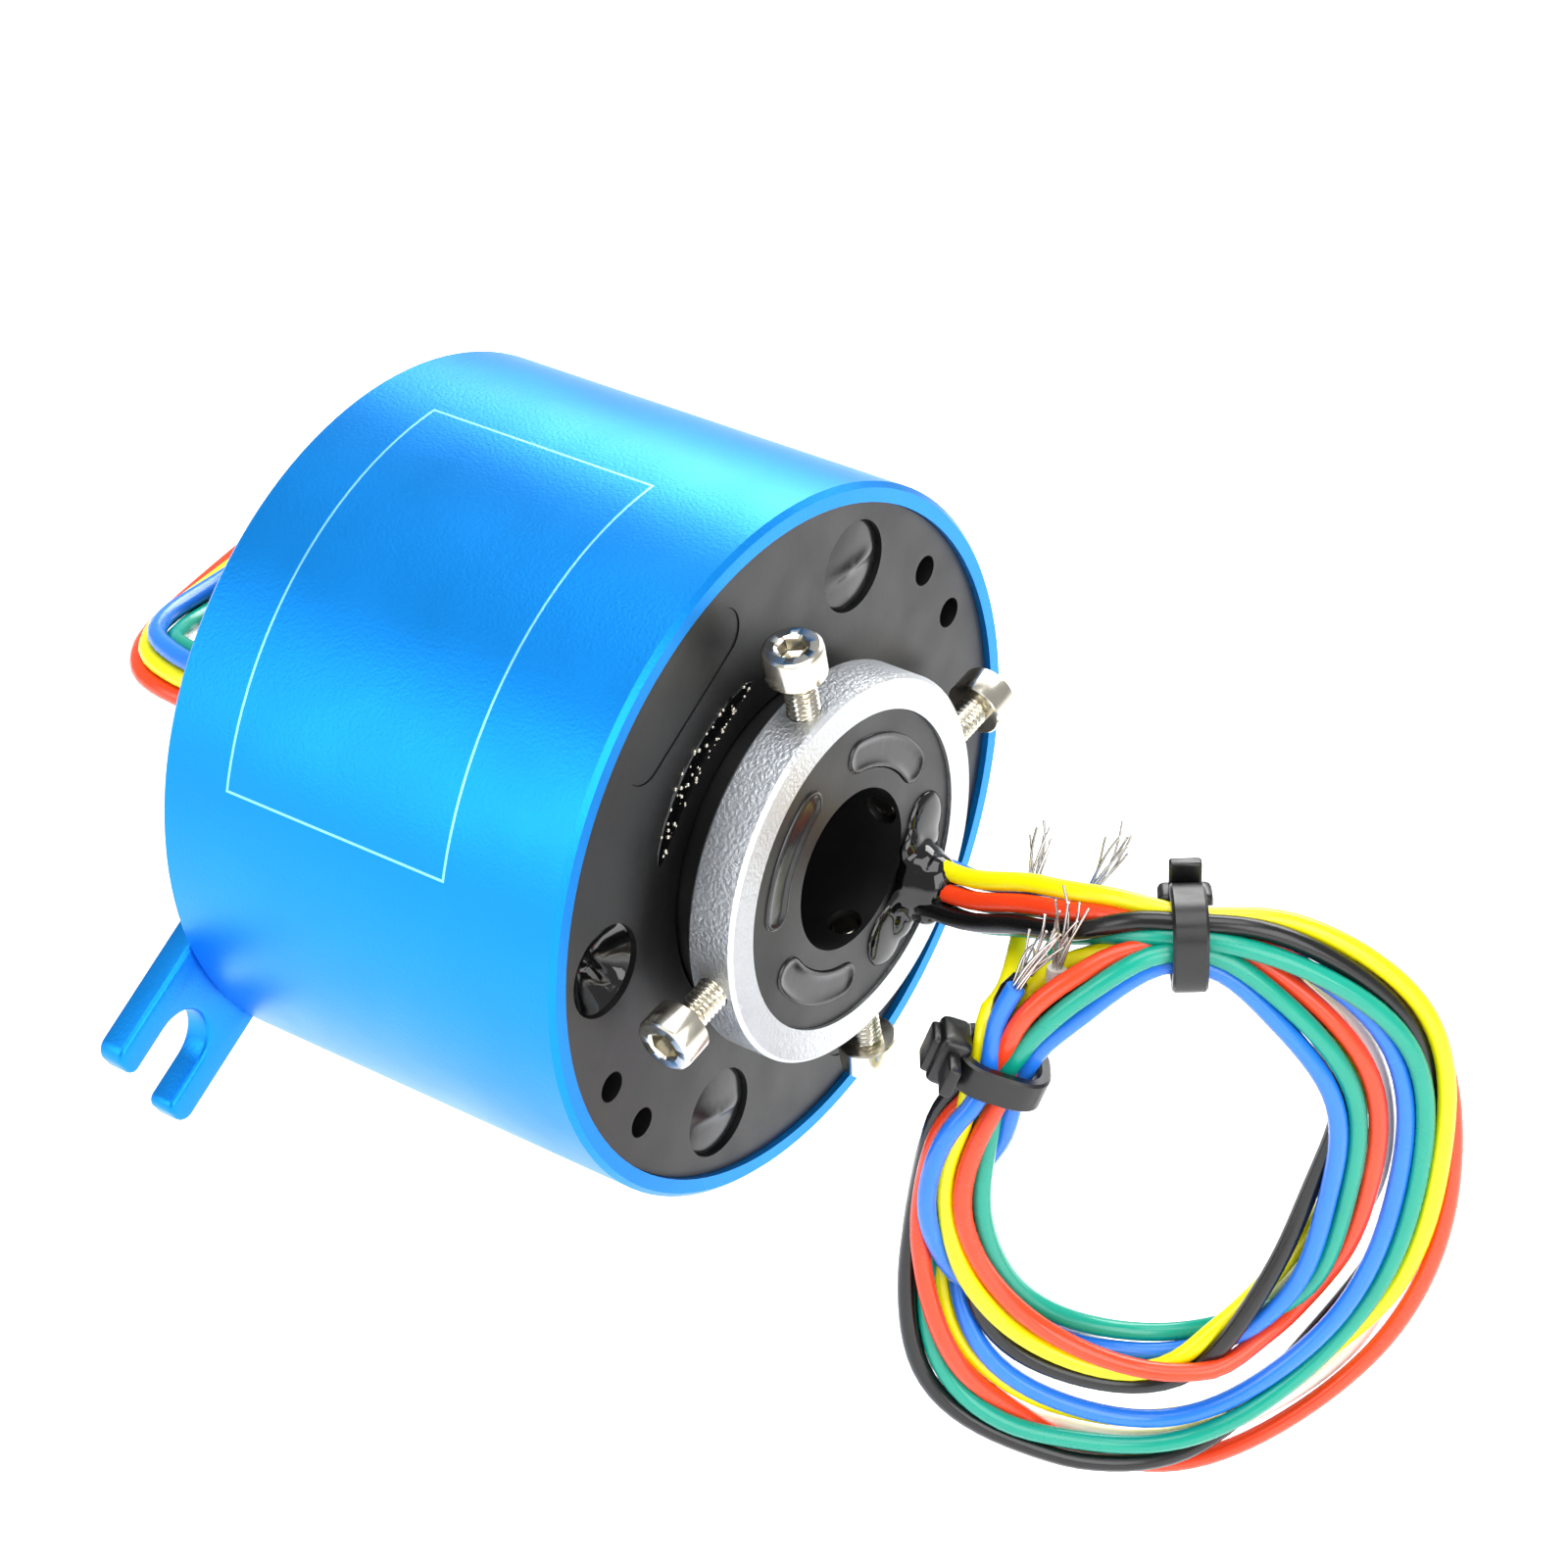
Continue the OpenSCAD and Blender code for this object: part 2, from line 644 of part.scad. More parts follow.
stator_housing();
front_end_cap();
rear_end_cap();
front_window_potting();
rear_window_potting();
anti_rotation_bracket();
bracket_screws();
brush_block_a();
brush_block_b();
brush_wires_a();
brush_wires_b();
rotor_sleeve();
contact_ring_1();
contact_ring_2();
contact_ring_3();
contact_ring_4();
contact_ring_5();
contact_ring_6();
ring_barriers();
end_barriers();
rear_retaining_ring();
front_bearing_outer_race();
front_bearing_inner_race();
front_bearing_balls();
rear_bearing_outer_race();
rear_bearing_inner_race();
rear_bearing_balls();
duct_potting();
clamp_collar();
clamp_screw_1();
clamp_screw_2();
clamp_screw_3();
clamp_screw_4();
rotor_lead_potting();
stator_lead_potting();
rotor_lead_yellow();
rotor_lead_red();
rotor_lead_black();
rotor_lead_blue();
rotor_lead_white();
rotor_lead_green();
rotor_lead_coil();
rotor_cable_tie_1();
rotor_cable_tie_2();
stator_lead_red();
stator_lead_yellow();
stator_lead_blue();
stator_lead_black();
stator_lead_white();
stator_lead_green();
stator_lead_coil();
stator_cable_tie();
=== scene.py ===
import math
import random
import bmesh
import bpy
import numpy as np
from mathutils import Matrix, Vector


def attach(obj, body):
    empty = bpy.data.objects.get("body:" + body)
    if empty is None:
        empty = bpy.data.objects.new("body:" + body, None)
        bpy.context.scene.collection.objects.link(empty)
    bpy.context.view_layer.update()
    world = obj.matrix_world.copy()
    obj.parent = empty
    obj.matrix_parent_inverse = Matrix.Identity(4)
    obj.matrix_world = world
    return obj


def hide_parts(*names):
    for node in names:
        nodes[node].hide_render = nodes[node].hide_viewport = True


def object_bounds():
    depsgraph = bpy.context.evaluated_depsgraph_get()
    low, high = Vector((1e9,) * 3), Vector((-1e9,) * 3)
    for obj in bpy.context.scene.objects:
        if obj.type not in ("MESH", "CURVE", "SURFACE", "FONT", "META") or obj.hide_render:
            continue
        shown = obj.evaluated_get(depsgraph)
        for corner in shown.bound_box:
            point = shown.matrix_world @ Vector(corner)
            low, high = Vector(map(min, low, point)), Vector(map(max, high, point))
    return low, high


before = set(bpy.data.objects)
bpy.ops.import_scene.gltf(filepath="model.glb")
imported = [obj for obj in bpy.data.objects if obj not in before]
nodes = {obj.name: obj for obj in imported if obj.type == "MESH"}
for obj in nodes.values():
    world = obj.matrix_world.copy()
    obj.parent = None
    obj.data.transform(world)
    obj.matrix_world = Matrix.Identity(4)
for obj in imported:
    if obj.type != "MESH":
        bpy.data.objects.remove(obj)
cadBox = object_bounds()
mm = 0.001  # sizes and places below are in millimetres, in the part's own frame

# camera: a long lens that looks down on the rotor's end from one side
cameraValues = {"at": (199.365, -219.498, 170.830), "back": (0.50883, -0.68704, 0.51872), "lens": 99.37,
                "sensor": 36, "clipStart": 0.01}
camera = bpy.data.objects.new("camera", bpy.data.cameras.new("camera"))
camera.data.lens = cameraValues["lens"]
camera.data.sensor_width = cameraValues["sensor"]
camera.data.clip_start = cameraValues["clipStart"]
camera.location = Vector(cameraValues["at"]) * mm
camera.rotation_euler = (-Vector(cameraValues["back"])).to_track_quat("-Z", "Y").to_euler()
bpy.context.scene.collection.objects.link(camera)
bpy.context.scene.camera = camera
print("camera done")


def unit(v):
    v = np.asarray(v, float)
    return v / np.linalg.norm(v)


def link(obj):
    bpy.context.scene.collection.objects.link(obj)
    return obj


def meshFrom(name, verts, faces, smooth=True):
    data = bpy.data.meshes.new(name)
    data.from_pydata([tuple(float(c) * mm for c in v) for v in verts], [], [tuple(f) for f in faces])
    data.validate()
    if smooth:
        data.shade_smooth()
    data.update()
    return link(bpy.data.objects.new(name, data))


def loftFaces(count, sides):
    # quads between rings of equal size
    faces = []
    for i in range(count - 1):
        for k in range(sides):
            a, b = i * sides + k, i * sides + (k + 1) % sides
            faces.append((a, b, b + sides, a + sides))
    return faces


def loft(rings, closeEnd=True):
    # rings run counter-clockwise seen from the end they move towards
    rings = [np.asarray(r, float) for r in rings]
    sides = len(rings[0])
    verts = [tuple(p) for r in rings for p in r]
    faces = loftFaces(len(rings), sides)
    middle = len(verts)
    verts.append(tuple(rings[0].mean(axis=0)))
    faces += [(middle, (k + 1) % sides, k) for k in range(sides)]
    if closeEnd:
        last, middle = (len(rings) - 1) * sides, len(verts)
        verts.append(tuple(rings[-1].mean(axis=0)))
        faces += [(middle, last + k, last + (k + 1) % sides) for k in range(sides)]
    return verts, faces


def closedLoft(rings):
    # a ring-shaped tube: the last ring joins the first
    count, sides = len(rings), len(rings[0])
    last = (count - 1) * sides
    verts = [tuple(p) for r in rings for p in r]
    faces = loftFaces(count, sides)
    faces += [(last + k, last + (k + 1) % sides, (k + 1) % sides, k) for k in range(sides)]
    return verts, faces


def joinParts(parts):
    verts, faces = [], []
    for v, f in parts:
        n = len(verts)
        verts += list(v)
        faces += [tuple(i + n for i in g) for g in f]
    return verts, faces


def place(points, origin, ex, ey, ez):
    # local coordinates to the part's frame
    m = np.array([ex, ey, ez], float)
    return np.asarray(points, float) @ m + np.asarray(origin, float)


def circle(r, n, z):
    a = np.linspace(0, 2 * math.pi, n, endpoint=False)
    return np.stack([r * np.cos(a), r * np.sin(a), np.full(n, z)], axis=1)


def arcPoints(y, z, r, a0, a1, n=8):
    # n points of an arc round (y, z), between two angles in degrees
    angles = [math.radians(a) for a in np.linspace(a0, a1, n)]
    return [(y + r * math.cos(a), z + r * math.sin(a)) for a in angles]


def around(angle):
    # outward and sideways directions at an angle round the shaft line, in degrees
    a = math.radians(angle)
    return np.array([0, math.cos(a), math.sin(a)]), np.array([0, -math.sin(a), math.cos(a)])


def smoothPath(keys, step, perStretch=16):
    # centripetal curve through all the keys, then evenly spaced
    p = np.asarray(keys, float)
    p = np.vstack([2 * p[0] - p[1], p, 2 * p[-1] - p[-2]])
    out = []
    for i in range(1, len(p) - 2):
        p0, p1, p2, p3 = p[i - 1:i + 3]
        t = [0.0]
        for a, b in ((p0, p1), (p1, p2), (p2, p3)):
            t.append(t[-1] + max(np.linalg.norm(b - a), 1e-6) ** 0.5)
        for s in np.linspace(t[1], t[2], perStretch, endpoint=False):
            a1 = (t[1] - s) / t[1] * p0 + s / t[1] * p1
            a2 = (t[2] - s) / (t[2] - t[1]) * p1 + (s - t[1]) / (t[2] - t[1]) * p2
            a3 = (t[3] - s) / (t[3] - t[2]) * p2 + (s - t[2]) / (t[3] - t[2]) * p3
            b1 = (t[2] - s) / t[2] * a1 + s / t[2] * a2
            b2 = (t[3] - s) / (t[3] - t[1]) * a2 + (s - t[1]) / (t[3] - t[1]) * a3
            out.append((t[2] - s) / (t[2] - t[1]) * b1 + (s - t[1]) / (t[2] - t[1]) * b2)
    out.append(p[-2])
    return evenly(np.array(out), step)


def evenly(line, step):
    d = np.concatenate([[0], np.cumsum(np.linalg.norm(np.diff(line, axis=0), axis=1))])
    n = max(4, int(round(d[-1] / step)) + 1)
    s = np.linspace(0, d[-1], n)
    return np.stack([np.interp(s, d, line[:, k]) for k in range(3)], axis=1)


def lineLength(line):
    return float(np.linalg.norm(np.diff(line, axis=0), axis=1).sum())


def inLoom(route, u, v, twist):
    # a lead's place beside the loom's route; the loom turns between the two twist angles on the way
    route = [np.array(p, float) for p in route]
    n = len(route) - 1
    out = []
    for i, p in enumerate(route):
        t = unit(route[min(i + 1, n)] - route[max(i - 1, 0)])
        side = unit(np.cross(t, [0, 0, 1]))
        up = np.cross(side, t)
        a = math.radians(twist[0] + (twist[1] - twist[0]) * i / n)
        out.append(p + side * (u * math.cos(a) - v * math.sin(a)) + up * (u * math.sin(a) + v * math.cos(a)))
    return out


# how leads settle: points held at the start and end, points of one lead that may lie close together,
# rounds that even out the bends to keep, how hard each rule pulls, and how far along and across a tie acts
settleValues = {"held": 10, "heldEnd": 2, "own": 12, "evening": 6, "push": 0.9, "bend": 0.97, "home": 0.012,
                "crowd": 0.4, "closest": 0.05, "tieLength": 6, "tieReach": 8.5, "tieDraw": 0.85,
                "tiePull": 0.05}


def keepApart(lines, gap, rounds, stiff, ties=()):
    # pushes leads that would share space apart and evens out their bends; the held points stay put
    v = settleValues
    sizes = [len(l) for l in lines]
    p = np.vstack(lines)
    owner = np.repeat(np.arange(len(lines)), sizes)
    order = np.concatenate([np.arange(n) for n in sizes])
    last = np.array(sizes)[owner] - 1
    pinned = (order < v["held"]) | (order > last - v["heldEnd"])
    far = (owner[:, None] != owner[None, :]) | (np.abs(order[:, None] - order[None, :]) > v["own"])
    home = p.copy()
    k = np.nonzero((order > 0) & (order < last))[0]
    calmed = np.zeros_like(p)
    calmed[k] = (home[k - 1] + home[k + 1]) / 2 - home[k]
    for turn in range(v["evening"]):
        calmed[k] = (calmed[k - 1] + calmed[k + 1] + calmed[k]) / 3
    pull = np.full(len(p), v["home"])
    for centre, normal in ties:  # a cable tie draws the leads near it together
        off = home - np.array(centre)
        along = off @ normal
        across = off - np.outer(along, normal)
        inside = np.linalg.norm(across, axis=1) < v["tieReach"]
        near = np.clip(1 - (along / v["tieLength"]) ** 2, 0, 1) * inside
        home = home - across * (near * v["tieDraw"])[:, None]
        pull += near * v["tiePull"]
    for turn in range(rounds):
        sq = (p * p).sum(axis=1)
        d2 = sq[:, None] + sq[None, :] - 2 * p @ p.T
        i, j = np.nonzero((d2 < gap * gap) & far)
        push = np.zeros_like(p)
        hits = np.ones(len(p))
        if len(i):
            away = p[i] - p[j]
            d = np.maximum(np.linalg.norm(away, axis=1), v["closest"])
            np.add.at(push, i, away / d[:, None] * ((gap - d) * 0.5)[:, None])
            np.add.at(hits, i, 1)
        push /= np.maximum(hits - v["crowd"], 1)[:, None]
        bend = np.zeros_like(p)
        bend[k] = (p[k - 1] + p[k + 1]) / 2 - p[k] - calmed[k] * v["bend"]
        move = push * v["push"] + bend * stiff + (home - p) * pull[:, None]
        move[pinned] = 0
        p = p + move
    return np.split(p, np.cumsum(sizes)[:-1])


def leadCurve(name, line, v):
    data = bpy.data.curves.new(name, "CURVE")
    data.dimensions = "3D"
    data.bevel_depth = v["diameter"] / 2 * mm
    data.bevel_resolution = v["bevel"]
    data.use_fill_caps = True
    data.resolution_u = 1
    data.render_resolution_u = 1
    spline = data.splines.new("POLY")
    spline.points.add(len(line) - 1)
    for point, p in zip(spline.points, line):
        point.co = (*(float(c) * mm for c in p), 1)
    return link(bpy.data.objects.new(name, data))


# rotor leads: a loom out of the face, a tied coil, then the bare ends
leadColours = ("yellow", "red", "black", "blue", "white", "green")
leadValues = {"diameter": 1.5, "pitch": 1.6, "step": 1.2, "sunk": 0.6, "bevel": 3}
rotorRoute = [(44.4, 8, -4.8), (48.5, 8, -4.8), (53.5, 8, -3.3), (58, 7.6, -2), (62.8, 7.2, -1.5)]
rotorPlace = {"yellow": (1, 1), "red": (1, 0), "black": (1, -1), "blue": (-1, 1), "white": (-1, 0),
              "green": (-1, -1)}
rotorCoil = {"mid": (67.2, 8.9, -24.8), "turn": 36, "loomKeys": 4, "twist": (30, 40), "bareSteps": 4}
rotorSettle = {"gap": 1.56, "rounds": 260, "stiff": 0.35}
coilTurn = math.radians(rotorCoil["turn"])
coilAcross = np.array([math.cos(coilTurn), math.sin(coilTurn), 0])
coilFacing = np.array([math.sin(coilTurn), -math.cos(coilTurn), 0])

# each lead round the coil: angle from the top, clockwise seen from the front, distance from the middle
# and height off the coil's plane, with a few closer points where leads cross
rotorTurns = {
    "green": [(0, 25.3, 1.6), (45, 22.1, 1.0), (90, 17.4, 0.8), (135, 17.9, 0.6), (180, 22.4, 1.4),
              (225, 23.9, 0.4), (270, 18.0, -1.6), (315, 19.0, 1.2), (330, 20.6, 1.8), (345, 22.7, 2.0),
              (360, 23.5, 1.6), (405, 16.8, 1.2), (450, 12.4, 0.6), (495, 13.4, 0), (540, 14.8, -2.4),
              (585, 15.0, -0.8), (630, 15.2, 1.2), (675, 18.0, -1.9)],
    "yellow": [(0, 27.0, -1.4), (45, 23.9, -0.6), (90, 18.8, 0.6), (135, 19.2, -1.0), (180, 22.0, -1),
               (225, 21.6, 0.2), (270, 18.0, -3), (315, 19.2, -0.4), (330, 21.8, -1.2), (360, 22.4, -1.8),
               (405, 17.6, -1.2), (450, 11.6, -1), (495, 10.9, -0.6), (540, 16.1, 0.8), (585, 17.0, 0.8),
               (630, 17.8, 0.6), (675, 22.3, -0.6)],
    "red": [(0, 24.9, -0.2), (45, 23.6, -2.2), (90, 20.2, 0), (135, 21.4, 0), (180, 26.0, -0.2),
            (225, 22.6, 0.8), (270, 19.2, 0), (315, 20.6, 1.2), (330, 22.2, 1.4), (360, 23.2, 0),
            (405, 18.5, 0.8), (450, 13.8, 0.4), (495, 14.0, -1.4), (540, 14.9, 1.2), (585, 15.3, 1),
            (630, 16.7, 1.2), (675, 17.7, -0.4), (690, 22.2, -2.4)],
    "blue": [(0, 24.6, -1.8), (45, 21.0, 0.4), (90, 16.0, 0.8), (135, 16.5, 1), (180, 20.6, 0.8),
             (225, 20.3, 0.8), (270, 15.6, -1.6), (300, 14.6, 0.4), (315, 16.2, 0.8), (330, 17.6, 1.4),
             (345, 19.6, 1.4), (360, 20.3, 1.2), (405, 15.2, 1.4), (450, 10.9, 0.8), (495, 12.2, 0.8),
             (540, 15.4, -1), (585, 17.2, -1.4), (630, 18.6, 1.0), (675, 21.8, 0.9), (690, 24.4, 0.9)],
    "black": [(0, 26.4, 0.2), (45, 23.0, -0.2), (90, 18.2, -1.2), (135, 17.2, -1.2), (180, 24.3, 1.0),
              (225, 25.6, 0.6), (270, 19.4, -1.6), (315, 20.6, -0.4), (360, 21.8, -0.4), (405, 16.4, -0.6),
              (450, 9.6, -0.4), (495, 9.9, 0.6), (540, 17.2, 0.4), (585, 18.7, 0.4), (630, 17.2, -0.6),
              (675, 21.4, -1.9), (690, 23.3, -0.6)],
    "white": [(0, 25.6, -2.9), (45, 22.2, -1.8), (90, 16.8, -1.2), (135, 20.2, -1.2), (180, 23.8, -0.8),
              (225, 24.6, -1), (270, 19.6, -3), (315, 19.8, -1.8), (360, 21.0, -2.2), (405, 18.6, -1.4),
              (450, 14.7, -1), (495, 12.4, -1.6), (540, 16.8, -1.4), (585, 16.2, -2.2), (630, 15.8, -0.4),
              (675, 17.8, -1.8)],
}
# where the bare ends come out; two of them rise behind the loom
rotorEnds = {"yellow": [(52.2, 7.2, -8.0), (51.4, 11.0, -4.4), (52.7, 11.2, 0.2)], "red": [],
             "black": [(60.5, 4.0, -3.6)], "blue": [(59.3, 3.1, -1.6)], "white": [(60.0, 3.5, 0.0)],
             "green": [(54.5, 7.7, -8.3), (56.6, 11.2, -3.4), (57.9, 11.6, 1.6)]}


def coilDirection(angle):
    # outward from the coil's middle, at an angle from the top in degrees
    a = math.radians(angle)
    return coilAcross * math.sin(a) + np.array([0, 0, 1]) * math.cos(a)


def onCoil(angle, r, n):
    # a point r from the coil's middle and n in front of its plane
    return np.array(rotorCoil["mid"]) + coilDirection(angle) * r + coilFacing * n


def loomKeys(colour, route, places, twist, sink):
    # the lead's keys beside the route; the first is moved along X into the potting
    u, v = places[colour]
    keys = inLoom(route, u * leadValues["pitch"] / 2, v * leadValues["pitch"], twist)
    return [keys[0] + np.array([sink, 0, 0])] + keys[1:]


# where the ties close on the coil, and which way the leads run there
tieSpots = {"top": ((66.9, 8.6, -1.5), coilAcross), "side": ((56.2, 0.8, -12.9), coilDirection(20))}
rotorKeys = []
for colour in leadColours:
    keys = loomKeys(colour, rotorRoute, rotorPlace, rotorCoil["twist"], -leadValues["sunk"])
    keys = keys[:rotorCoil["loomKeys"]]
    keys += [onCoil(*k) for k in rotorTurns[colour]]
    keys += [np.array(p) for p in rotorEnds[colour]]
    rotorKeys.append(smoothPath(keys, leadValues["step"]))
rotorLines = keepApart(rotorKeys, ties=tieSpots.values(), **rotorSettle)
rotorLines = [evenly(l, leadValues["step"]) for l in rotorLines]
rotorLines = [l[:-rotorCoil["bareSteps"]] for l in rotorLines]  # the last steps are bare strands

# stator leads: a bend behind the rear cap into a flat coil
statorRoute = [(-2.5, -18.7, 8.7), (-6, -18.7, 8.7), (-9.0, -17.9, 8.6), (-11.4, -14.9, 8.3),
               (-12.8, -9.8, 8.0), (-13.4, -3, 8.5), (-13.5, 5, 9.8)]
statorPlace = {"red": (-1, -1), "yellow": (-1, 0), "blue": (-1, 1), "black": (1, -1), "white": (1, 0),
               "green": (1, 1)}
statorOrder = ("red", "black", "yellow", "white", "blue", "green")  # side by side in the coil
statorCoil = {"mid": (-13.5, 19.5, 1), "outer": 11.3, "turns": 3.0, "pitch": 1.56, "from": -20, "every": 20,
              "twist": (0, -78), "tieAt": 9.2, "tieAngle": -70}
statorSettle = {"gap": 1.52, "rounds": 60, "stiff": 0.1}


def spiralKeys(colour, v):
    # one flat spiral a lead, from the outside in
    x = v["mid"][0] + (statorOrder.index(colour) - (len(statorOrder) - 1) / 2) * v["pitch"]
    keys = []
    for angle in range(v["from"], int(360 * v["turns"]) + 1, v["every"]):
        a = math.radians(angle)
        r = v["outer"] - v["pitch"] * (angle - v["from"]) / 360
        keys.append(np.array([x, v["mid"][1] + r * math.sin(a), v["mid"][2] + r * math.cos(a)]))
    return keys


statorKeys = []
for colour in leadColours:
    keys = loomKeys(colour, statorRoute, statorPlace, statorCoil["twist"], leadValues["sunk"])
    statorKeys.append(smoothPath(keys + spiralKeys(colour, statorCoil), leadValues["step"]))
statorLines = [evenly(l, leadValues["step"]) for l in keepApart(statorKeys, **statorSettle)]

leads, leadLines = {}, {}
for side, lines in (("rotor", rotorLines), ("stator", statorLines)):
    for colour, line in zip(leadColours, lines):
        leads[side, colour] = leadCurve("lead_%s_%s" % (side, colour), line, leadValues)
        leadLines[side, colour] = line
        print(side, colour, "lead", round(lineLength(line), 1), "mm")


def linear(code):
    # hex sRGB to the linear values that the shaders use
    parts = [int(code[i:i + 2], 16) / 255 for i in (1, 3, 5)]
    return tuple(c / 12.92 if c <= 0.04045 else ((c + 0.055) / 1.055) ** 2.4 for c in parts) + (1.0,)


def addNode(tree, kind, settings=None, values=None, links=()):
    n = tree.nodes.new(kind)
    for k, v in (settings or {}).items():
        setattr(n, k, v)
    for k, v in (values or {}).items():
        n.inputs[k].default_value = v
    for source, output, target in links:
        tree.links.new(source.outputs[output], n.inputs[target])
    return n


def perMm(size):
    # texture scale for features of this size in mm
    return 1 / (size * mm)


# noise detail of each pattern, and the part of the noise that spreads over its whole effect
patternValues = {"blotchDetail": 4.0, "blotchRange": (0.3, 0.7), "wearDetail": 5.0,
                 "wearRange": (0.35, 0.65), "grainDetail": 2.0}


def finish(name, code, rough, metal=0.0, grain=None, blotch=None, wear=None, ior=None):
    # grain: (size, bump height); blotch: (size, roughness spread); wear: (size, second colour, share)
    p = patternValues
    mat = bpy.data.materials.new(name)
    mat.use_nodes = True
    tree = mat.node_tree
    bsdf = tree.nodes["Principled BSDF"]
    bsdf.inputs["Base Color"].default_value = linear(code)
    bsdf.inputs["Roughness"].default_value = rough
    bsdf.inputs["Metallic"].default_value = metal
    if ior:
        bsdf.inputs["IOR"].default_value = ior
    coords = addNode(tree, "ShaderNodeTexCoord")
    if blotch:
        noise = addNode(tree, "ShaderNodeTexNoise", None,
                        {"Scale": perMm(blotch[0]), "Detail": p["blotchDetail"]},
                        [(coords, "Object", "Vector")])
        spread = addNode(tree, "ShaderNodeMapRange", None,
                         {"From Min": p["blotchRange"][0], "From Max": p["blotchRange"][1],
                          "To Min": rough - blotch[1], "To Max": rough + blotch[1]},
                         [(noise, "Fac", "Value")])
        tree.links.new(spread.outputs["Result"], bsdf.inputs["Roughness"])
    if wear:
        noise = addNode(tree, "ShaderNodeTexNoise", None,
                        {"Scale": perMm(wear[0]), "Detail": p["wearDetail"]},
                        [(coords, "Object", "Vector")])
        share = addNode(tree, "ShaderNodeMapRange", None,
                        {"From Min": p["wearRange"][0], "From Max": p["wearRange"][1], "To Max": wear[2]},
                        [(noise, "Fac", "Value")])
        mix = addNode(tree, "ShaderNodeMix", {"data_type": "RGBA"}, None, [(share, "Result", "Factor")])
        mix.inputs["A"].default_value = linear(code)
        mix.inputs["B"].default_value = linear(wear[1])
        tree.links.new(mix.outputs["Result"], bsdf.inputs["Base Color"])
    if grain:
        noise = addNode(tree, "ShaderNodeTexNoise", None,
                        {"Scale": perMm(grain[0]), "Detail": p["grainDetail"]},
                        [(coords, "Object", "Vector")])
        bump = addNode(tree, "ShaderNodeBump", None, {"Strength": 1.0, "Distance": grain[1] * mm},
                       [(noise, "Fac", "Height")])
        tree.links.new(bump.outputs["Normal"], bsdf.inputs["Normal"])
    return mat


# anodised aluminium, blasted then dyed: a soft sheen with fine sparkle; the blast's grain is drawn
# coarser than it is, so that it shows
anodise = {"code": "#0484DC", "rough": 0.40, "metal": 0.8, "grain": (0.26, 0.022), "blotch": (9, 0.04)}
blueAnodised = finish("blueAnodised", **anodise)
housingFinish = finish("blueAnodisedEngraved", **anodise)
# moulded nylon: dark with broad soft highlights
blackMoulded = finish("blackMoulded", "#0D0D0E", 0.42, grain=(0.5, 0.006), blotch=(4, 0.06))
# cast epoxy: wet, mirror-like highlights
pottingEpoxy = finish("pottingEpoxy", "#060607", 0.07, grain=(3.0, 0.05), ior=1.55)
# epoxy that has skinned over: greyer, with a softer highlight
pottingSatin = finish("pottingSatin", "#161618", 0.22, grain=(2.2, 0.04), ior=1.5)
# bead-blasted aluminium: bright frosted grey; its grain is drawn coarser than it is, so that it shows
blastedAluminium = finish("blastedAluminium", "#C6C9CC", 0.42, 0.9, grain=(0.32, 0.085), blotch=(3, 0.05))
# nickel-plated steel screws: warm bright metal
nickelSteel = finish("nickelSteel", "#D2CDBF", 0.20, 1.0, grain=(0.8, 0.003), blotch=(1.2, 0.05))
# ground bearing steel, races and balls: cool mirror
bearingSteel = finish("bearingSteel", "#B9BCC0", 0.16, 1.0, grain=(0.6, 0.001))
# gold-plated rings and brushes: yellow metal
goldPlate = finish("goldPlate", "#E3B45A", 0.22, 1.0, grain=(0.5, 0.002))
# moulded insulator nylon: cream, matt
insulatorNylon = finish("insulatorNylon", "#D8D3BF", 0.5, grain=(0.4, 0.004))
# moulded tie nylon: satin black
tieNylon = finish("tieNylon", "#0C0C0D", 0.34, grain=(0.9, 0.01), blotch=(2, 0.06))
# tinned copper strands: pale bright metal
tinnedCopper = finish("tinnedCopper", "#CBC7C2", 0.25, 1.0, grain=(0.2, 0.004))
# extruded PVC insulation: glossy with long soft highlights
wireColours = {"yellow": "#F6EC08", "red": "#F0431C", "black": "#101011", "blue": "#2478E8",
               "white": "#F1EFE6", "green": "#0B9A82"}
wirePvc = {"rough": 0.24, "grain": (2.5, 0.02), "blotch": (5, 0.06), "wear": (6, "#000000", 0.06),
           "ior": 1.5}
wireFinish = {k: finish("wire" + k.capitalize(), code, **wirePvc) for k, code in wireColours.items()}

# the outline cut through the housing's dye: along the shaft, round it in degrees, and the cut's width
engraveValues = {"x": (6.4, 27), "angles": (95.3, 166), "radius": 28, "width": 0.2, "line": "#86D6F6"}


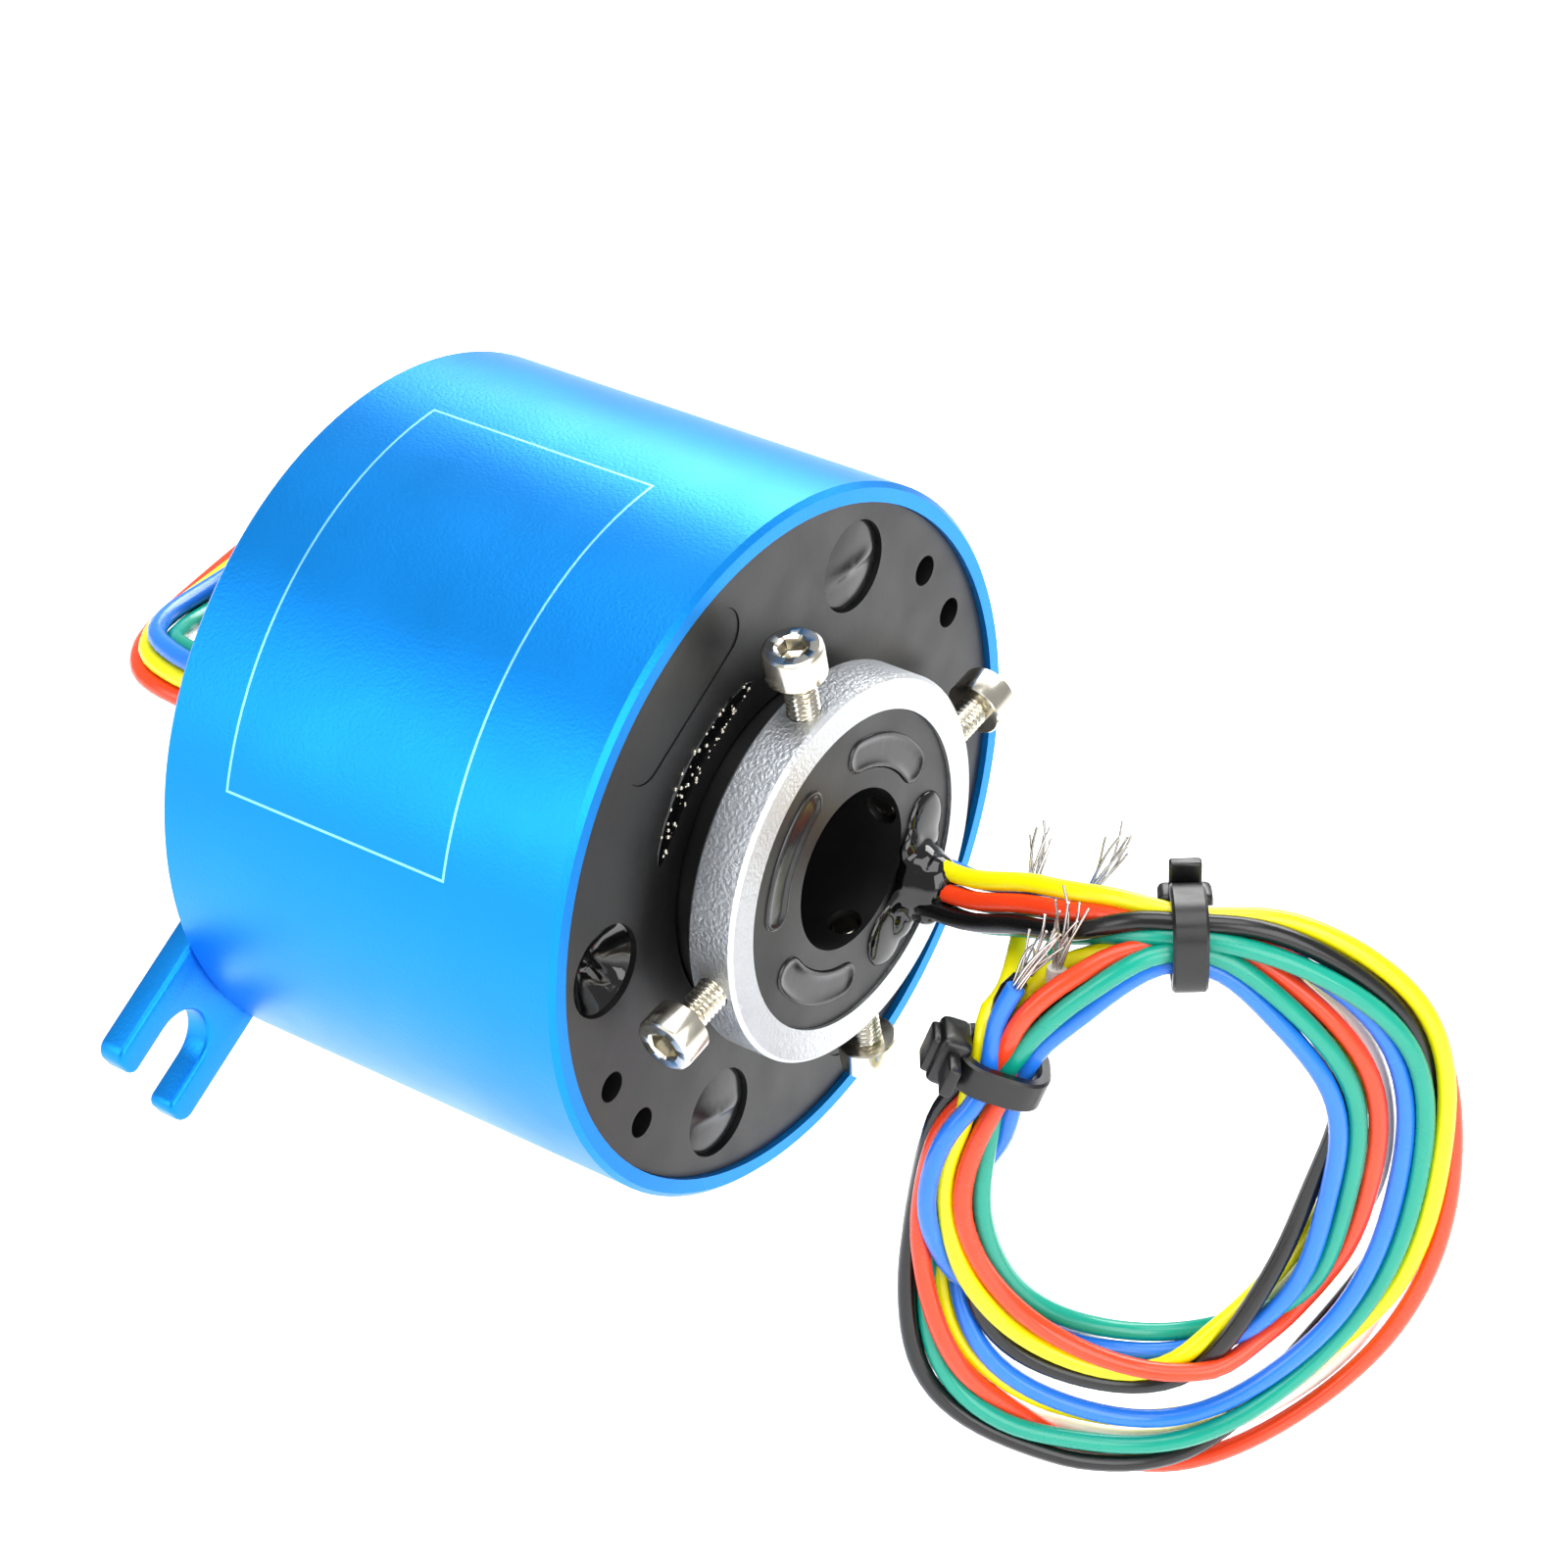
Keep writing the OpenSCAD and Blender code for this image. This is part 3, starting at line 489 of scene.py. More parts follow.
def engrave(mat, v):
    # a thin closed outline, laid out by length along the shaft and arc round it
    tree = mat.node_tree
    bsdf = tree.nodes["Principled BSDF"]
    coords = addNode(tree, "ShaderNodeTexCoord")
    split = addNode(tree, "ShaderNodeSeparateXYZ", None, None, [(coords, "Object", "Vector")])
    angle = addNode(tree, "ShaderNodeMath", {"operation": "ARCTAN2"}, None,
                    [(split, "Z", 0), (split, "Y", 1)])
    arc = addNode(tree, "ShaderNodeMath", {"operation": "MULTIPLY"}, {1: v["radius"] * mm}, [(angle, 0, 0)])
    past = []  # how far past the outline's middle line in each direction
    for source, output, (low, high) in ((split, "X", v["x"]),
                                        (arc, 0, [math.radians(a) * v["radius"] for a in v["angles"]])):
        off = addNode(tree, "ShaderNodeMath", {"operation": "SUBTRACT"}, {1: (low + high) / 2 * mm},
                      [(source, output, 0)])
        size = addNode(tree, "ShaderNodeMath", {"operation": "ABSOLUTE"}, None, [(off, 0, 0)])
        past.append(addNode(tree, "ShaderNodeMath", {"operation": "SUBTRACT"}, {1: (high - low) / 2 * mm},
                            [(size, 0, 0)]))
    most = addNode(tree, "ShaderNodeMath", {"operation": "MAXIMUM"}, None,
                   [(past[0], 0, 0), (past[1], 0, 1)])
    edge = addNode(tree, "ShaderNodeMath", {"operation": "ABSOLUTE"}, None, [(most, 0, 0)])
    mask = addNode(tree, "ShaderNodeMath", {"operation": "LESS_THAN"}, {1: v["width"] / 2 * mm},
                   [(edge, 0, 0)])
    mix = addNode(tree, "ShaderNodeMix", {"data_type": "RGBA"}, None, [(mask, 0, "Factor")])
    mix.inputs["A"].default_value = bsdf.inputs["Base Color"].default_value
    mix.inputs["B"].default_value = linear(v["line"])
    tree.links.new(mix.outputs["Result"], bsdf.inputs["Base Color"])


engrave(housingFinish, engraveValues)

# the finish of each CAD node
cadFinish = {
    "stator_housing": housingFinish, "front_end_cap": blackMoulded, "rear_end_cap": blackMoulded,
    "front_window_potting": pottingEpoxy, "rear_window_potting": pottingEpoxy,
    "anti_rotation_bracket": blueAnodised, "bracket_screws": nickelSteel, "brush_block_a": blackMoulded,
    "brush_block_b": blackMoulded, "brush_wires_a": goldPlate, "brush_wires_b": goldPlate,
    "rotor_sleeve": blackMoulded, "ring_barriers": insulatorNylon, "end_barriers": insulatorNylon,
    "rear_retaining_ring": bearingSteel, "duct_potting": pottingEpoxy, "clamp_collar": blastedAluminium,
    "rotor_lead_potting": pottingEpoxy, "stator_lead_potting": pottingEpoxy,
    "rotor_lead_coil": wireFinish["yellow"], "stator_lead_coil": wireFinish["yellow"],
    "rotor_cable_tie_1": tieNylon, "rotor_cable_tie_2": tieNylon, "stator_cable_tie": tieNylon,
}
for i in range(1, 7):
    cadFinish["contact_ring_%d" % i] = goldPlate
for i in range(1, 5):
    cadFinish["clamp_screw_%d" % i] = nickelSteel
for end in ("front", "rear"):
    for part in ("outer_race", "inner_race", "balls"):
        cadFinish["%s_bearing_%s" % (end, part)] = bearingSteel
for side in ("rotor", "stator"):
    for colour in leadColours:
        cadFinish["%s_lead_%s" % (side, colour)] = wireFinish[colour]
for name, mat in cadFinish.items():
    nodes[name].data.materials.clear()
    nodes[name].data.materials.append(mat)
print("materials done")


def solid(name, parts, mat, sharp):
    obj = meshFrom(name, *joinParts(parts))
    obj.data.set_sharp_from_angle(angle=math.radians(sharp))
    obj.data.materials.append(mat)
    return obj


def turnOutward(obj):
    # faces point outwards on every closed shell
    bm = bmesh.new()
    bm.from_mesh(obj.data)
    bmesh.ops.recalc_face_normals(bm, faces=bm.faces)
    bm.to_mesh(obj.data)
    bm.free()
    return obj


def bake(obj, name):
    # the evaluated shape as a plain mesh, in place of the object
    deps = bpy.context.evaluated_depsgraph_get()
    data = bpy.data.meshes.new_from_object(obj.evaluated_get(deps), depsgraph=deps)
    data.name = name
    bpy.data.objects.remove(obj)
    return link(bpy.data.objects.new(name, data))


def grow(obj, name, settings, mat, build):
    # Geometry Nodes on an object, baked; settings are the tree's named inputs
    tree = bpy.data.node_groups.new(name, "GeometryNodeTree")
    tree.interface.new_socket("Geometry", in_out="INPUT", socket_type="NodeSocketGeometry")
    ids = {k: tree.interface.new_socket(k, in_out="INPUT", socket_type=kind).identifier
           for k, (kind, value) in settings.items()}
    tree.interface.new_socket("Geometry", in_out="OUTPUT", socket_type="NodeSocketGeometry")
    start, end = addNode(tree, "NodeGroupInput"), addNode(tree, "NodeGroupOutput")
    last, output = build(tree, start)
    real = addNode(tree, "GeometryNodeRealizeInstances", None, None, [(last, output, "Geometry")])
    painted = addNode(tree, "GeometryNodeSetMaterial", None, {"Material": mat},
                      [(real, "Geometry", "Geometry")])
    tree.links.new(painted.outputs["Geometry"], end.inputs["Geometry"])
    modifier = obj.modifiers.new(name, "NODES")
    modifier.node_group = tree
    for k, (kind, value) in settings.items():
        modifier[ids[k]] = value
    return bake(obj, name)


def fuse(name, lumps, v, mat):
    # overlapping drops flowed into one body; each lump is its centre and half sizes
    parts = []
    for centre, half in lumps:
        rings = []
        for a in np.linspace(v["pole"], math.pi - v["pole"], v["rings"]):
            rings.append(circle(math.sin(a), v["sides"], -math.cos(a)) * np.array(half) + np.array(centre))
        parts.append(loft(rings))
    obj = turnOutward(meshFrom(name + "Lumps", *joinParts(parts)))
    flow = obj.modifiers.new("flow", "REMESH")
    flow.mode = "VOXEL"
    flow.voxel_size = v["voxel"] * mm
    flow.use_smooth_shade = True
    relax = obj.modifiers.new("relax", "SMOOTH")
    relax.factor = v["relax"]
    relax.iterations = v["rounds"]
    obj = bake(obj, name)
    obj.data.materials.clear()
    obj.data.materials.append(mat)
    return obj


# clamp screws: socket heads on real threads; each of the head's top rings is its inset and its drop,
# and each ring of the socket its share of the hexagon's width and its depth
screwValues = {"x": 41.3, "first": 14, "tip": 6.65, "seat": 18.65, "lift": 0.03, "thread": 2.5, "root": 1.96,
               "pitch": 0.45, "flank": 1.25, "tipRadius": 0.85, "chamfer": 0.9, "overlap": 0.05,
               "perTurn": 6, "threadSides": 32, "head": 4.6, "height": 2.6, "foot": 1.0, "edge": 0.12,
               "headSides": 48, "crown": ((0, 0.3), (0.09, 0.12), (0.28, 0)), "socket": 2.0, "mouth": 0.66,
               "socketRings": ((1, 0.16), (1, 1.3), (0.6, 1.5)), "sharp": 28}


def hexRing(flats, n, z):
    a = np.linspace(0, 2 * math.pi, n, endpoint=False)
    r = flats / 2 / np.cos((a + math.pi / 6) % (math.pi / 3) - math.pi / 6)
    return np.stack([r * np.cos(a), r * np.sin(a), np.full(n, z)], axis=1)


def screwHead(v):
    low, top, r, n = v["seat"] + v["lift"], v["seat"] + v["height"], v["head"] / 2, v["headSides"]
    rings = [circle(v["foot"], n, low), circle(r - v["edge"], n, low), circle(r, n, v["seat"] + v["edge"])]
    rings += [circle(r - inset, n, top - drop) for inset, drop in v["crown"]]
    rings.append(circle(v["socket"] * v["mouth"], n, top))
    rings += [hexRing(v["socket"] * share, n, top - depth) for share, depth in v["socketRings"]]
    return loft(rings)


def screwShank(v):
    # each ring follows the thread round one height, and the tip is chamfered
    rows, n = int((v["seat"] - v["tip"]) / v["pitch"] * v["perTurn"]), v["threadSides"]
    turn = np.linspace(0, 2 * math.pi, n, endpoint=False)
    rings = []
    for i in range(rows + 1):
        z = v["tip"] + (v["seat"] + v["overlap"] - v["tip"]) * i / rows
        wave = np.abs(((z / v["pitch"] - turn / (2 * math.pi)) % 1) * 2 - 1)
        r = v["root"] / 2 + (v["thread"] - v["root"]) / 2 * np.clip(wave * v["flank"], 0, 1)
        r = np.minimum(r, v["tipRadius"] + (z - v["tip"]) * v["chamfer"])
        rings.append(np.stack([r * np.cos(turn), r * np.sin(turn), np.full(n, z)], axis=1))
    return loft(rings)


screwShape = (screwHead(screwValues), screwShank(screwValues))
alongShaft = np.array([1.0, 0, 0])
for i in range(4):
    out = around(screwValues["first"] + 90 * i)[0]
    start = (screwValues["x"], 0, 0)
    side = np.cross(out, alongShaft)
    parts = [(place(verts, start, alongShaft, side, out), faces) for verts, faces in screwShape]
    obj = solid("capScrew%d" % (i + 1), parts, nickelSteel, screwValues["sharp"])
    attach(obj, "clamp_screw_%d" % (i + 1))
    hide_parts("clamp_screw_%d" % (i + 1))
print("screws done")

# potting in the front windows; each window is its angle, the potting's crown, and a ridge with its lean
windowValues = {"r": 3.55, "mid": 21.45, "floor": 34.5, "face": 36.5, "rim": 0.1, "dip": 0.08,
                "ridgeWidth": 0.5, "sides": 40, "sharp": 60,
                "rings": (0.97, 0.9, 0.8, 0.68, 0.55, 0.42, 0.3, 0.18, 0.08),
                "full": ((66.9, 0.35, 0.25, 0.5), (-0.1, 0.35, 0.25, 0.9), (246.9, 0.35, 0.25, 0.2)),
                "low": ((179.9, -1.5, 0.5, 0.7),)}


def windowPlug(v, angle, crown, ridge, lean):
    out, side = around(angle)
    rings = [circle(v["r"], v["sides"], v["floor"]), circle(v["r"], v["sides"], v["face"] - v["rim"])]
    for s in v["rings"]:
        ring = circle(v["r"] * s, v["sides"], 0)
        across = ring[:, 0] * math.cos(lean) + ring[:, 1] * math.sin(lean)
        swell = crown + ridge * np.exp(-(across / v["ridgeWidth"]) ** 2)
        ring[:, 2] = v["face"] - v["dip"] + (1 - s * s) * swell
        rings.append(ring)
    verts, faces = loft(rings)
    return place(verts, out * v["mid"], out, side, alongShaft), faces


v = windowValues
plugs = solid("windowPlugs", [windowPlug(v, *w) for w in v["full"]], pottingSatin, v["sharp"])
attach(plugs, "stator")
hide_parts("front_window_potting")
well = solid("windowWell", [windowPlug(v, *w) for w in v["low"]], pottingEpoxy, v["sharp"])
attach(well, "stator")

# potting in the rotor's lead ducts: each ring of the profile is its inset from the duct's wall and its
# height over the rotor's face
ductValues = {"r": 9.325, "w": 2.5, "span": 67, "first": 59, "face": 43.0, "sides": 25, "endSides": 9,
              "sharp": 70,
              "profile": ((0.05, -2), (0.02, -0.02), (-0.1, 0.03), (-0.04, 0.12), (0.12, 0.16), (0.28, 0.1),
                          (0.42, 0.02), (0.8, -0.03), (1.15, -0.03))}


def kidneyRing(v, angle, inset, x):
    half = v["span"] / 2 - math.degrees(math.asin(v["w"] / 2 / v["r"]))
    t = v["w"] / 2 - inset
    y, z = v["r"] * math.cos(math.radians(half)), v["r"] * math.sin(math.radians(half))
    points = arcPoints(0, 0, v["r"] + t, -half, half, v["sides"])
    points += arcPoints(y, z, t, half, half + 180, v["endSides"])[1:-1]
    points += arcPoints(0, 0, v["r"] - t, half, -half, v["sides"])
    points += arcPoints(y, -z, t, 180 - half, 360 - half, v["endSides"])[1:-1]
    out, side = around(angle)
    return place([(c, s, x) for c, s in points], (0, 0, 0), out, side, alongShaft)


def ductPart(v, angle):
    rings = [kidneyRing(v, angle, inset, v["face"] + height) for inset, height in v["profile"]]
    verts, faces = loft(rings, closeEnd=False)
    n = len(rings[0])
    faces.append(tuple(range((len(rings) - 1) * n, len(rings) * n)))
    return verts, faces


v = ductValues
ducts = solid("ductFill", [ductPart(v, v["first"] + 90 * i) for i in range(4)], pottingSatin, v["sharp"])
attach(ducts, "rotor")
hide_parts("duct_potting")

# drops of potting round the leads, and an arc of them run down over the rotor's face
dropValues = {"voxel": 0.2, "relax": 0.5, "rounds": 14, "pole": 0.12, "rings": 11, "sides": 20,
              "arc": 9.3, "arcX": 43.0, "arcHalf": (0.62, 2.3, 2.5),
              "arcAngles": (-2, -14, -26, -38, -50, -62),
              "lumps": [((43.4, 8.0, -4.8), (2.4, 2.9, 3.2)), ((45.0, 8.0, -4.8), (2.0, 2.2, 2.7)),
                        ((43.1, 6.4, -5.6), (1.1, 1.8, 2.0)), ((43.2, 6.0, -7.6), (0.9, 1.5, 1.5)),
                        ((43.1, 7.4, -1.9), (0.8, 1.4, 1.6)), ((44.9, 6.9, -6.6), (1.3, 1.0, 1.0))]}
v = dropValues
run = [(alongShaft * v["arcX"] + around(a)[0] * v["arc"], v["arcHalf"]) for a in v["arcAngles"]]
blob = fuse("pottingDrops", run + v["lumps"], v, pottingEpoxy)
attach(blob, "rotor")
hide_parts("rotor_lead_potting")

# a film of grease and potting left between the cap and the collar; each wave of its edge is a height,
# a frequency and a phase
greaseValues = {"from": 104, "to": 160, "steps": 57, "inner": 15.0, "outer": 17.2, "x": 36.9, "lift": 0.13,
                "sunk": 0.02, "sides": 16, "waves": ((0.25, 0.9, 0), (0.15, 2.3, 1)), "shiftBy": 0.1,
                "widenBy": 0.12, "liftBy": 0.6, "sharp": 70}
fleckValues = {"density": 1.3e6, "seed": 5, "size": 0.14, "scale": (0.4, 1.3), "detail": 2}  # density per m2


def greaseRings(v):
    rings = []
    for j, a in enumerate(np.linspace(v["from"], v["to"], v["steps"])):
        out = around(a)[0]
        swell = math.sin(math.pi * j / (v["steps"] - 1)) ** 0.5 + 0.001  # thin at both ends
        wander = sum(height * math.sin(a * often + phase) for height, often, phase in v["waves"])
        mid = (v["inner"] + v["outer"]) / 2 + v["shiftBy"] * wander
        half = (v["outer"] - v["inner"]) / 2 * swell * (1 + v["widenBy"] * wander)
        ring = []
        for b in np.linspace(0, 2 * math.pi, v["sides"], endpoint=False):
            lift = v["lift"] * swell * (1 + v["liftBy"] * wander) if math.sin(b) > 0 else v["sunk"]
            ring.append(out * (mid + half * math.cos(b)) + alongShaft * (v["x"] + lift * math.sin(b)))
        rings.append(ring)
    return rings


def scatter(tree, start):
    points = addNode(tree, "GeometryNodeDistributePointsOnFaces", {"distribute_method": "RANDOM"}, None,
                     [(start, "Geometry", "Mesh"), (start, "Density", "Density"), (start, "Seed", "Seed")])
    drop = addNode(tree, "GeometryNodeMeshIcoSphere", None, {"Subdivisions": fleckValues["detail"]},
                   [(start, "Size", "Radius")])
    sizes = addNode(tree, "FunctionNodeRandomValue", {"data_type": "FLOAT"}, None, [(start, "Seed", "Seed")])
    sizes.inputs["Min"].default_value, sizes.inputs["Max"].default_value = fleckValues["scale"]
    on = addNode(tree, "GeometryNodeInstanceOnPoints", None, None,
                 [(points, "Points", "Points"), (drop, "Mesh", "Instance"), (sizes, "Value", "Scale")])
    return on, "Instances"


film = loft(greaseRings(greaseValues))
grease = turnOutward(solid("greaseFilm", [film], pottingEpoxy, greaseValues["sharp"]))
flecks = grow(meshFrom("flecksOn", *film), "potFlecks",
              {"Density": ("NodeSocketFloat", fleckValues["density"]),
               "Seed": ("NodeSocketInt", fleckValues["seed"]),
               "Size": ("NodeSocketFloat", fleckValues["size"] * mm)}, nickelSteel, scatter)
for obj in (grease, flecks):
    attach(obj, "stator")
print("potting done")

# fork bracket with soft edges
forkValues = {"angle": 213.4, "inner": 19.6, "reach": 37.5, "half": 5.85, "slot": 2.95, "mid": 33.15,
              "corner": 1.2, "tine": 0.8, "slotSides": 20, "thick": 2.5, "edge": 0.45, "edgeSteps": 4,
              "bevelOver": 50, "sharp": 30}


def forkOutline(v):
    # from the inner edge round both tines and the slot between them
    c, t = v["corner"], v["tine"]
    return (arcPoints(v["inner"] + c, -v["half"] + c, c, 180, 270)
            + arcPoints(v["reach"] - c, -v["half"] + c, c, 270, 360)
            + arcPoints(v["reach"] - t, -v["slot"] - t, t, 0, 90)
            + arcPoints(v["mid"], 0, v["slot"], 270, 90, v["slotSides"])
            + arcPoints(v["reach"] - t, v["slot"] + t, t, 270, 360)
            + arcPoints(v["reach"] - c, v["half"] - c, c, 0, 90)
            + arcPoints(v["inner"] + c, v["half"] - c, c, 90, 180))


def forkPlate(v):
    out, side = around(v["angle"])
    outline = forkOutline(v)
    n = len(outline)
    verts = []
    for x in (-v["thick"], 0):
        verts += [tuple(p) for p in place([(y, z, x) for y, z in outline], (0, 0, 0), out, side, alongShaft)]
    faces = [tuple(reversed(range(n))), tuple(range(n, 2 * n))]
    faces += [(k, (k + 1) % n, n + (k + 1) % n, n + k) for k in range(n)]
    return verts, faces


bracket = turnOutward(meshFrom("forkPlate", *forkPlate(forkValues)))
bevel = bracket.modifiers.new("soften", "BEVEL")
bevel.width = forkValues["edge"] * mm
bevel.segments = forkValues["edgeSteps"]
bevel.limit_method = "ANGLE"
bevel.angle_limit = math.radians(forkValues["bevelOver"])
bracket = bake(bracket, "forkPlate")
bracket.data.shade_smooth()
bracket.data.set_sharp_from_angle(angle=math.radians(forkValues["sharp"]))
bracket.data.materials.append(blueAnodised)
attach(bracket, "stator")
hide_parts("anti_rotation_bracket")
print("bracket done")

# cable ties: the strap closes round the leads that pass within its window along them and its reach
tieValues = {"thick": 1.0, "width": 2.6, "edge": 0.2, "gap": 0.12, "window": 1.6, "reach": 8.5,
             "square": 0.55, "steps": 72, "head": (2.4, 3.7, 4.0), "headGap": 0.1, "headSoft": 0.45,
             "tail": 1.6, "tailHalf": 0.5, "tailInset": 0.1, "tailSoft": 0.2,
             "lip": (0.5, 1.3, 1.5), "lipOut": 1.3, "lipSoft": 0.25, "sharp": 40}


def roundedBox(centre, half, ex, ey, ez, soft):
    # rings along ez; the end ones draw in, so that the end edges are soft too
    rings = []
    for z, inset in ((-half[2], soft), (-half[2] + soft * 0.4, soft * 0.3), (-half[2] + soft, 0),
                     (half[2] - soft, 0), (half[2] - soft * 0.4, soft * 0.3), (half[2], soft)):
        cx, cy = half[0] - soft - inset * 0.6, half[1] - soft - inset * 0.6
        ring = []
        for k, (sx, sy) in enumerate(((1, 1), (-1, 1), (-1, -1), (1, -1))):
            ring += [(x, y, z) for x, y in arcPoints(sx * cx, sy * cy, soft, 90 * k, 90 * k + 90, 5)]
        rings.append(ring)
    verts, faces = loft(rings)
    return place(verts, centre, ex, ey, ez), faces


def strapRings(v, middle, out, across, along, a, b):
    # a strap round a rounded rectangle with half sizes a and b
    w, h, e = v["width"] / 2, v["thick"], v["edge"]
    section = [(0, -w + e), (e, -w), (h - e, -w), (h, -w + e), (h, w - e), (h - e, w), (e, w), (0, w - e)]
    rings = []
    for t in np.linspace(0, 2 * math.pi, v["steps"], endpoint=False):
        c, s = math.cos(t), math.sin(t)
        y, z = a * abs(c) ** v["square"] * np.sign(c), b * abs(s) ** v["square"] * np.sign(s)
        normal = unit(out * c * b + across * s * a)
        rings.append([middle + out * y + across * z + normal * d + along * at for d, at in section])
    return rings


def cableTie(name, lines, centre, out, across, body, node):
    v = tieValues
    along = unit(np.cross(out, across))
    across = unit(across)
    near = np.vstack(lines) - np.asarray(centre)
    near = near[(np.abs(near @ along) < v["window"]) & (np.linalg.norm(near, axis=1) < v["reach"])]
    spare = leadValues["diameter"] / 2 + v["gap"]
    low = np.array([(near @ out).min(), (near @ across).min()]) - spare
    high = np.array([(near @ out).max(), (near @ across).max()]) + spare
    middle = np.asarray(centre) + out * (low[0] + high[0]) / 2 + across * (low[1] + high[1]) / 2
    a, b = (high - low) / 2
    strap = closedLoft(strapRings(v, middle, out, across, along, a, b))
    headAt = middle + out * (a + v["head"][0] / 2 + v["headGap"])
    head = roundedBox(headAt, [s / 2 for s in v["head"]], out, across, along, v["headSoft"])
    tailAt = headAt + across * (v["head"][1] / 2 + v["tail"] / 2)
    tailSize = (v["tailHalf"], v["tail"], v["width"] / 2 - v["tailInset"])
    tail = roundedBox(tailAt, tailSize, out, across, along, v["tailSoft"])
    lip = roundedBox(headAt + out * v["lipOut"], v["lip"], out, across, along, v["lipSoft"])
    obj = turnOutward(solid(name, [strap, head, tail, lip], tieNylon, v["sharp"]))
    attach(obj, body)
    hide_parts(node)


cableTie("cableTieTop", rotorLines, tieSpots["top"][0], -coilFacing, coilDirection(-2), "rotor",
         "rotor_cable_tie_1")
cableTie("cableTieSide", rotorLines, tieSpots["side"][0], coilDirection(-70), coilFacing, "rotor",
         "rotor_cable_tie_2")
rearOut = around(statorCoil["tieAngle"])[0]
rearTie = np.array(statorCoil["mid"]) + rearOut * statorCoil["tieAt"]
cableTie("cableTieRear", statorLines, rearTie, rearOut, alongShaft, "stator", "stator_cable_tie")
print("ties done")

# bare strands at the rotor leads' ends
tuftValues = {"strands": 7, "radius": 0.11, "sides": 6, "length": 6.0, "lengthSpread": (0.8, 0.3),
              "splay": 0.16, "splaySpread": (0.4, 1.0), "core": 0.3, "coreSplay": 0.5, "lay": 1.6,
              "flare": 1.6, "sunk": 0.4, "points": 10, "seed": 7}
rng = random.Random(tuftValues["seed"])


def strand(spline, v, k, start, ahead, side, up):
    # strand 0 starts in the middle and splays half as much as the others round it
    spread = v["splay"] * (v["splaySpread"][0] + v["splaySpread"][1] * rng.random())
    reach = v["length"] * (v["lengthSpread"][0] + v["lengthSpread"][1] * rng.random())
    spline.points.add(v["points"] - 1)
    for j, point in enumerate(spline.points):
        s = j / (v["points"] - 1)
        a = k * math.pi / 3 + s * v["lay"]
        r = (v["core"] if k else 0) + spread * reach * s ** v["flare"] * (1 if k else v["coreSplay"])
        p = start + ahead * (reach * s - v["sunk"]) + (side * math.cos(a) + up * math.sin(a)) * r
        point.co = (*(float(c) * mm for c in p), 1)


def sweep(tree, start):
    profile = addNode(tree, "GeometryNodeCurvePrimitiveCircle", {"mode": "RADIUS"},
                      {"Resolution": tuftValues["sides"]}, [(start, "Radius", "Radius")])
    tube = addNode(tree, "GeometryNodeCurveToMesh", None, {"Fill Caps": True},
                   [(start, "Geometry", "Curve"), (profile, "Curve", "Profile Curve")])
    smooth = addNode(tree, "GeometryNodeSetShadeSmooth", None, None, [(tube, "Mesh", "Geometry")])
    return smooth, "Geometry"


for colour, line in zip(leadColours, rotorLines):
    ahead = unit(line[-1] - line[-3])
    side = unit(np.cross(ahead, [0.3, 0.2, 1]))  # any direction off the lead's own will do
    up = np.cross(ahead, side)
    data = bpy.data.curves.new("strands", "CURVE")
    data.dimensions = "3D"
    for k in range(tuftValues["strands"]):
        strand(data.splines.new("POLY"), tuftValues, k, line[-1], ahead, side, up)
    strands = link(bpy.data.objects.new("strands", data))
    radius = {"Radius": ("NodeSocketFloat", tuftValues["radius"] * mm)}
    tuft = grow(strands, "bareEnd_" + colour, radius, tinnedCopper, sweep)
    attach(tuft, "rotor")
print("bare ends done")

# the leads, each with its wire finish, on its side's body in place of the CAD leads and coils
for (side, colour), obj in leads.items():
    line = leadLines[side, colour]
    obj.data.materials.append(wireFinish[colour])
    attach(obj, side)
    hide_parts("%s_lead_%s" % (side, colour))
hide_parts("rotor_lead_coil")
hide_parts("stator_lead_coil")

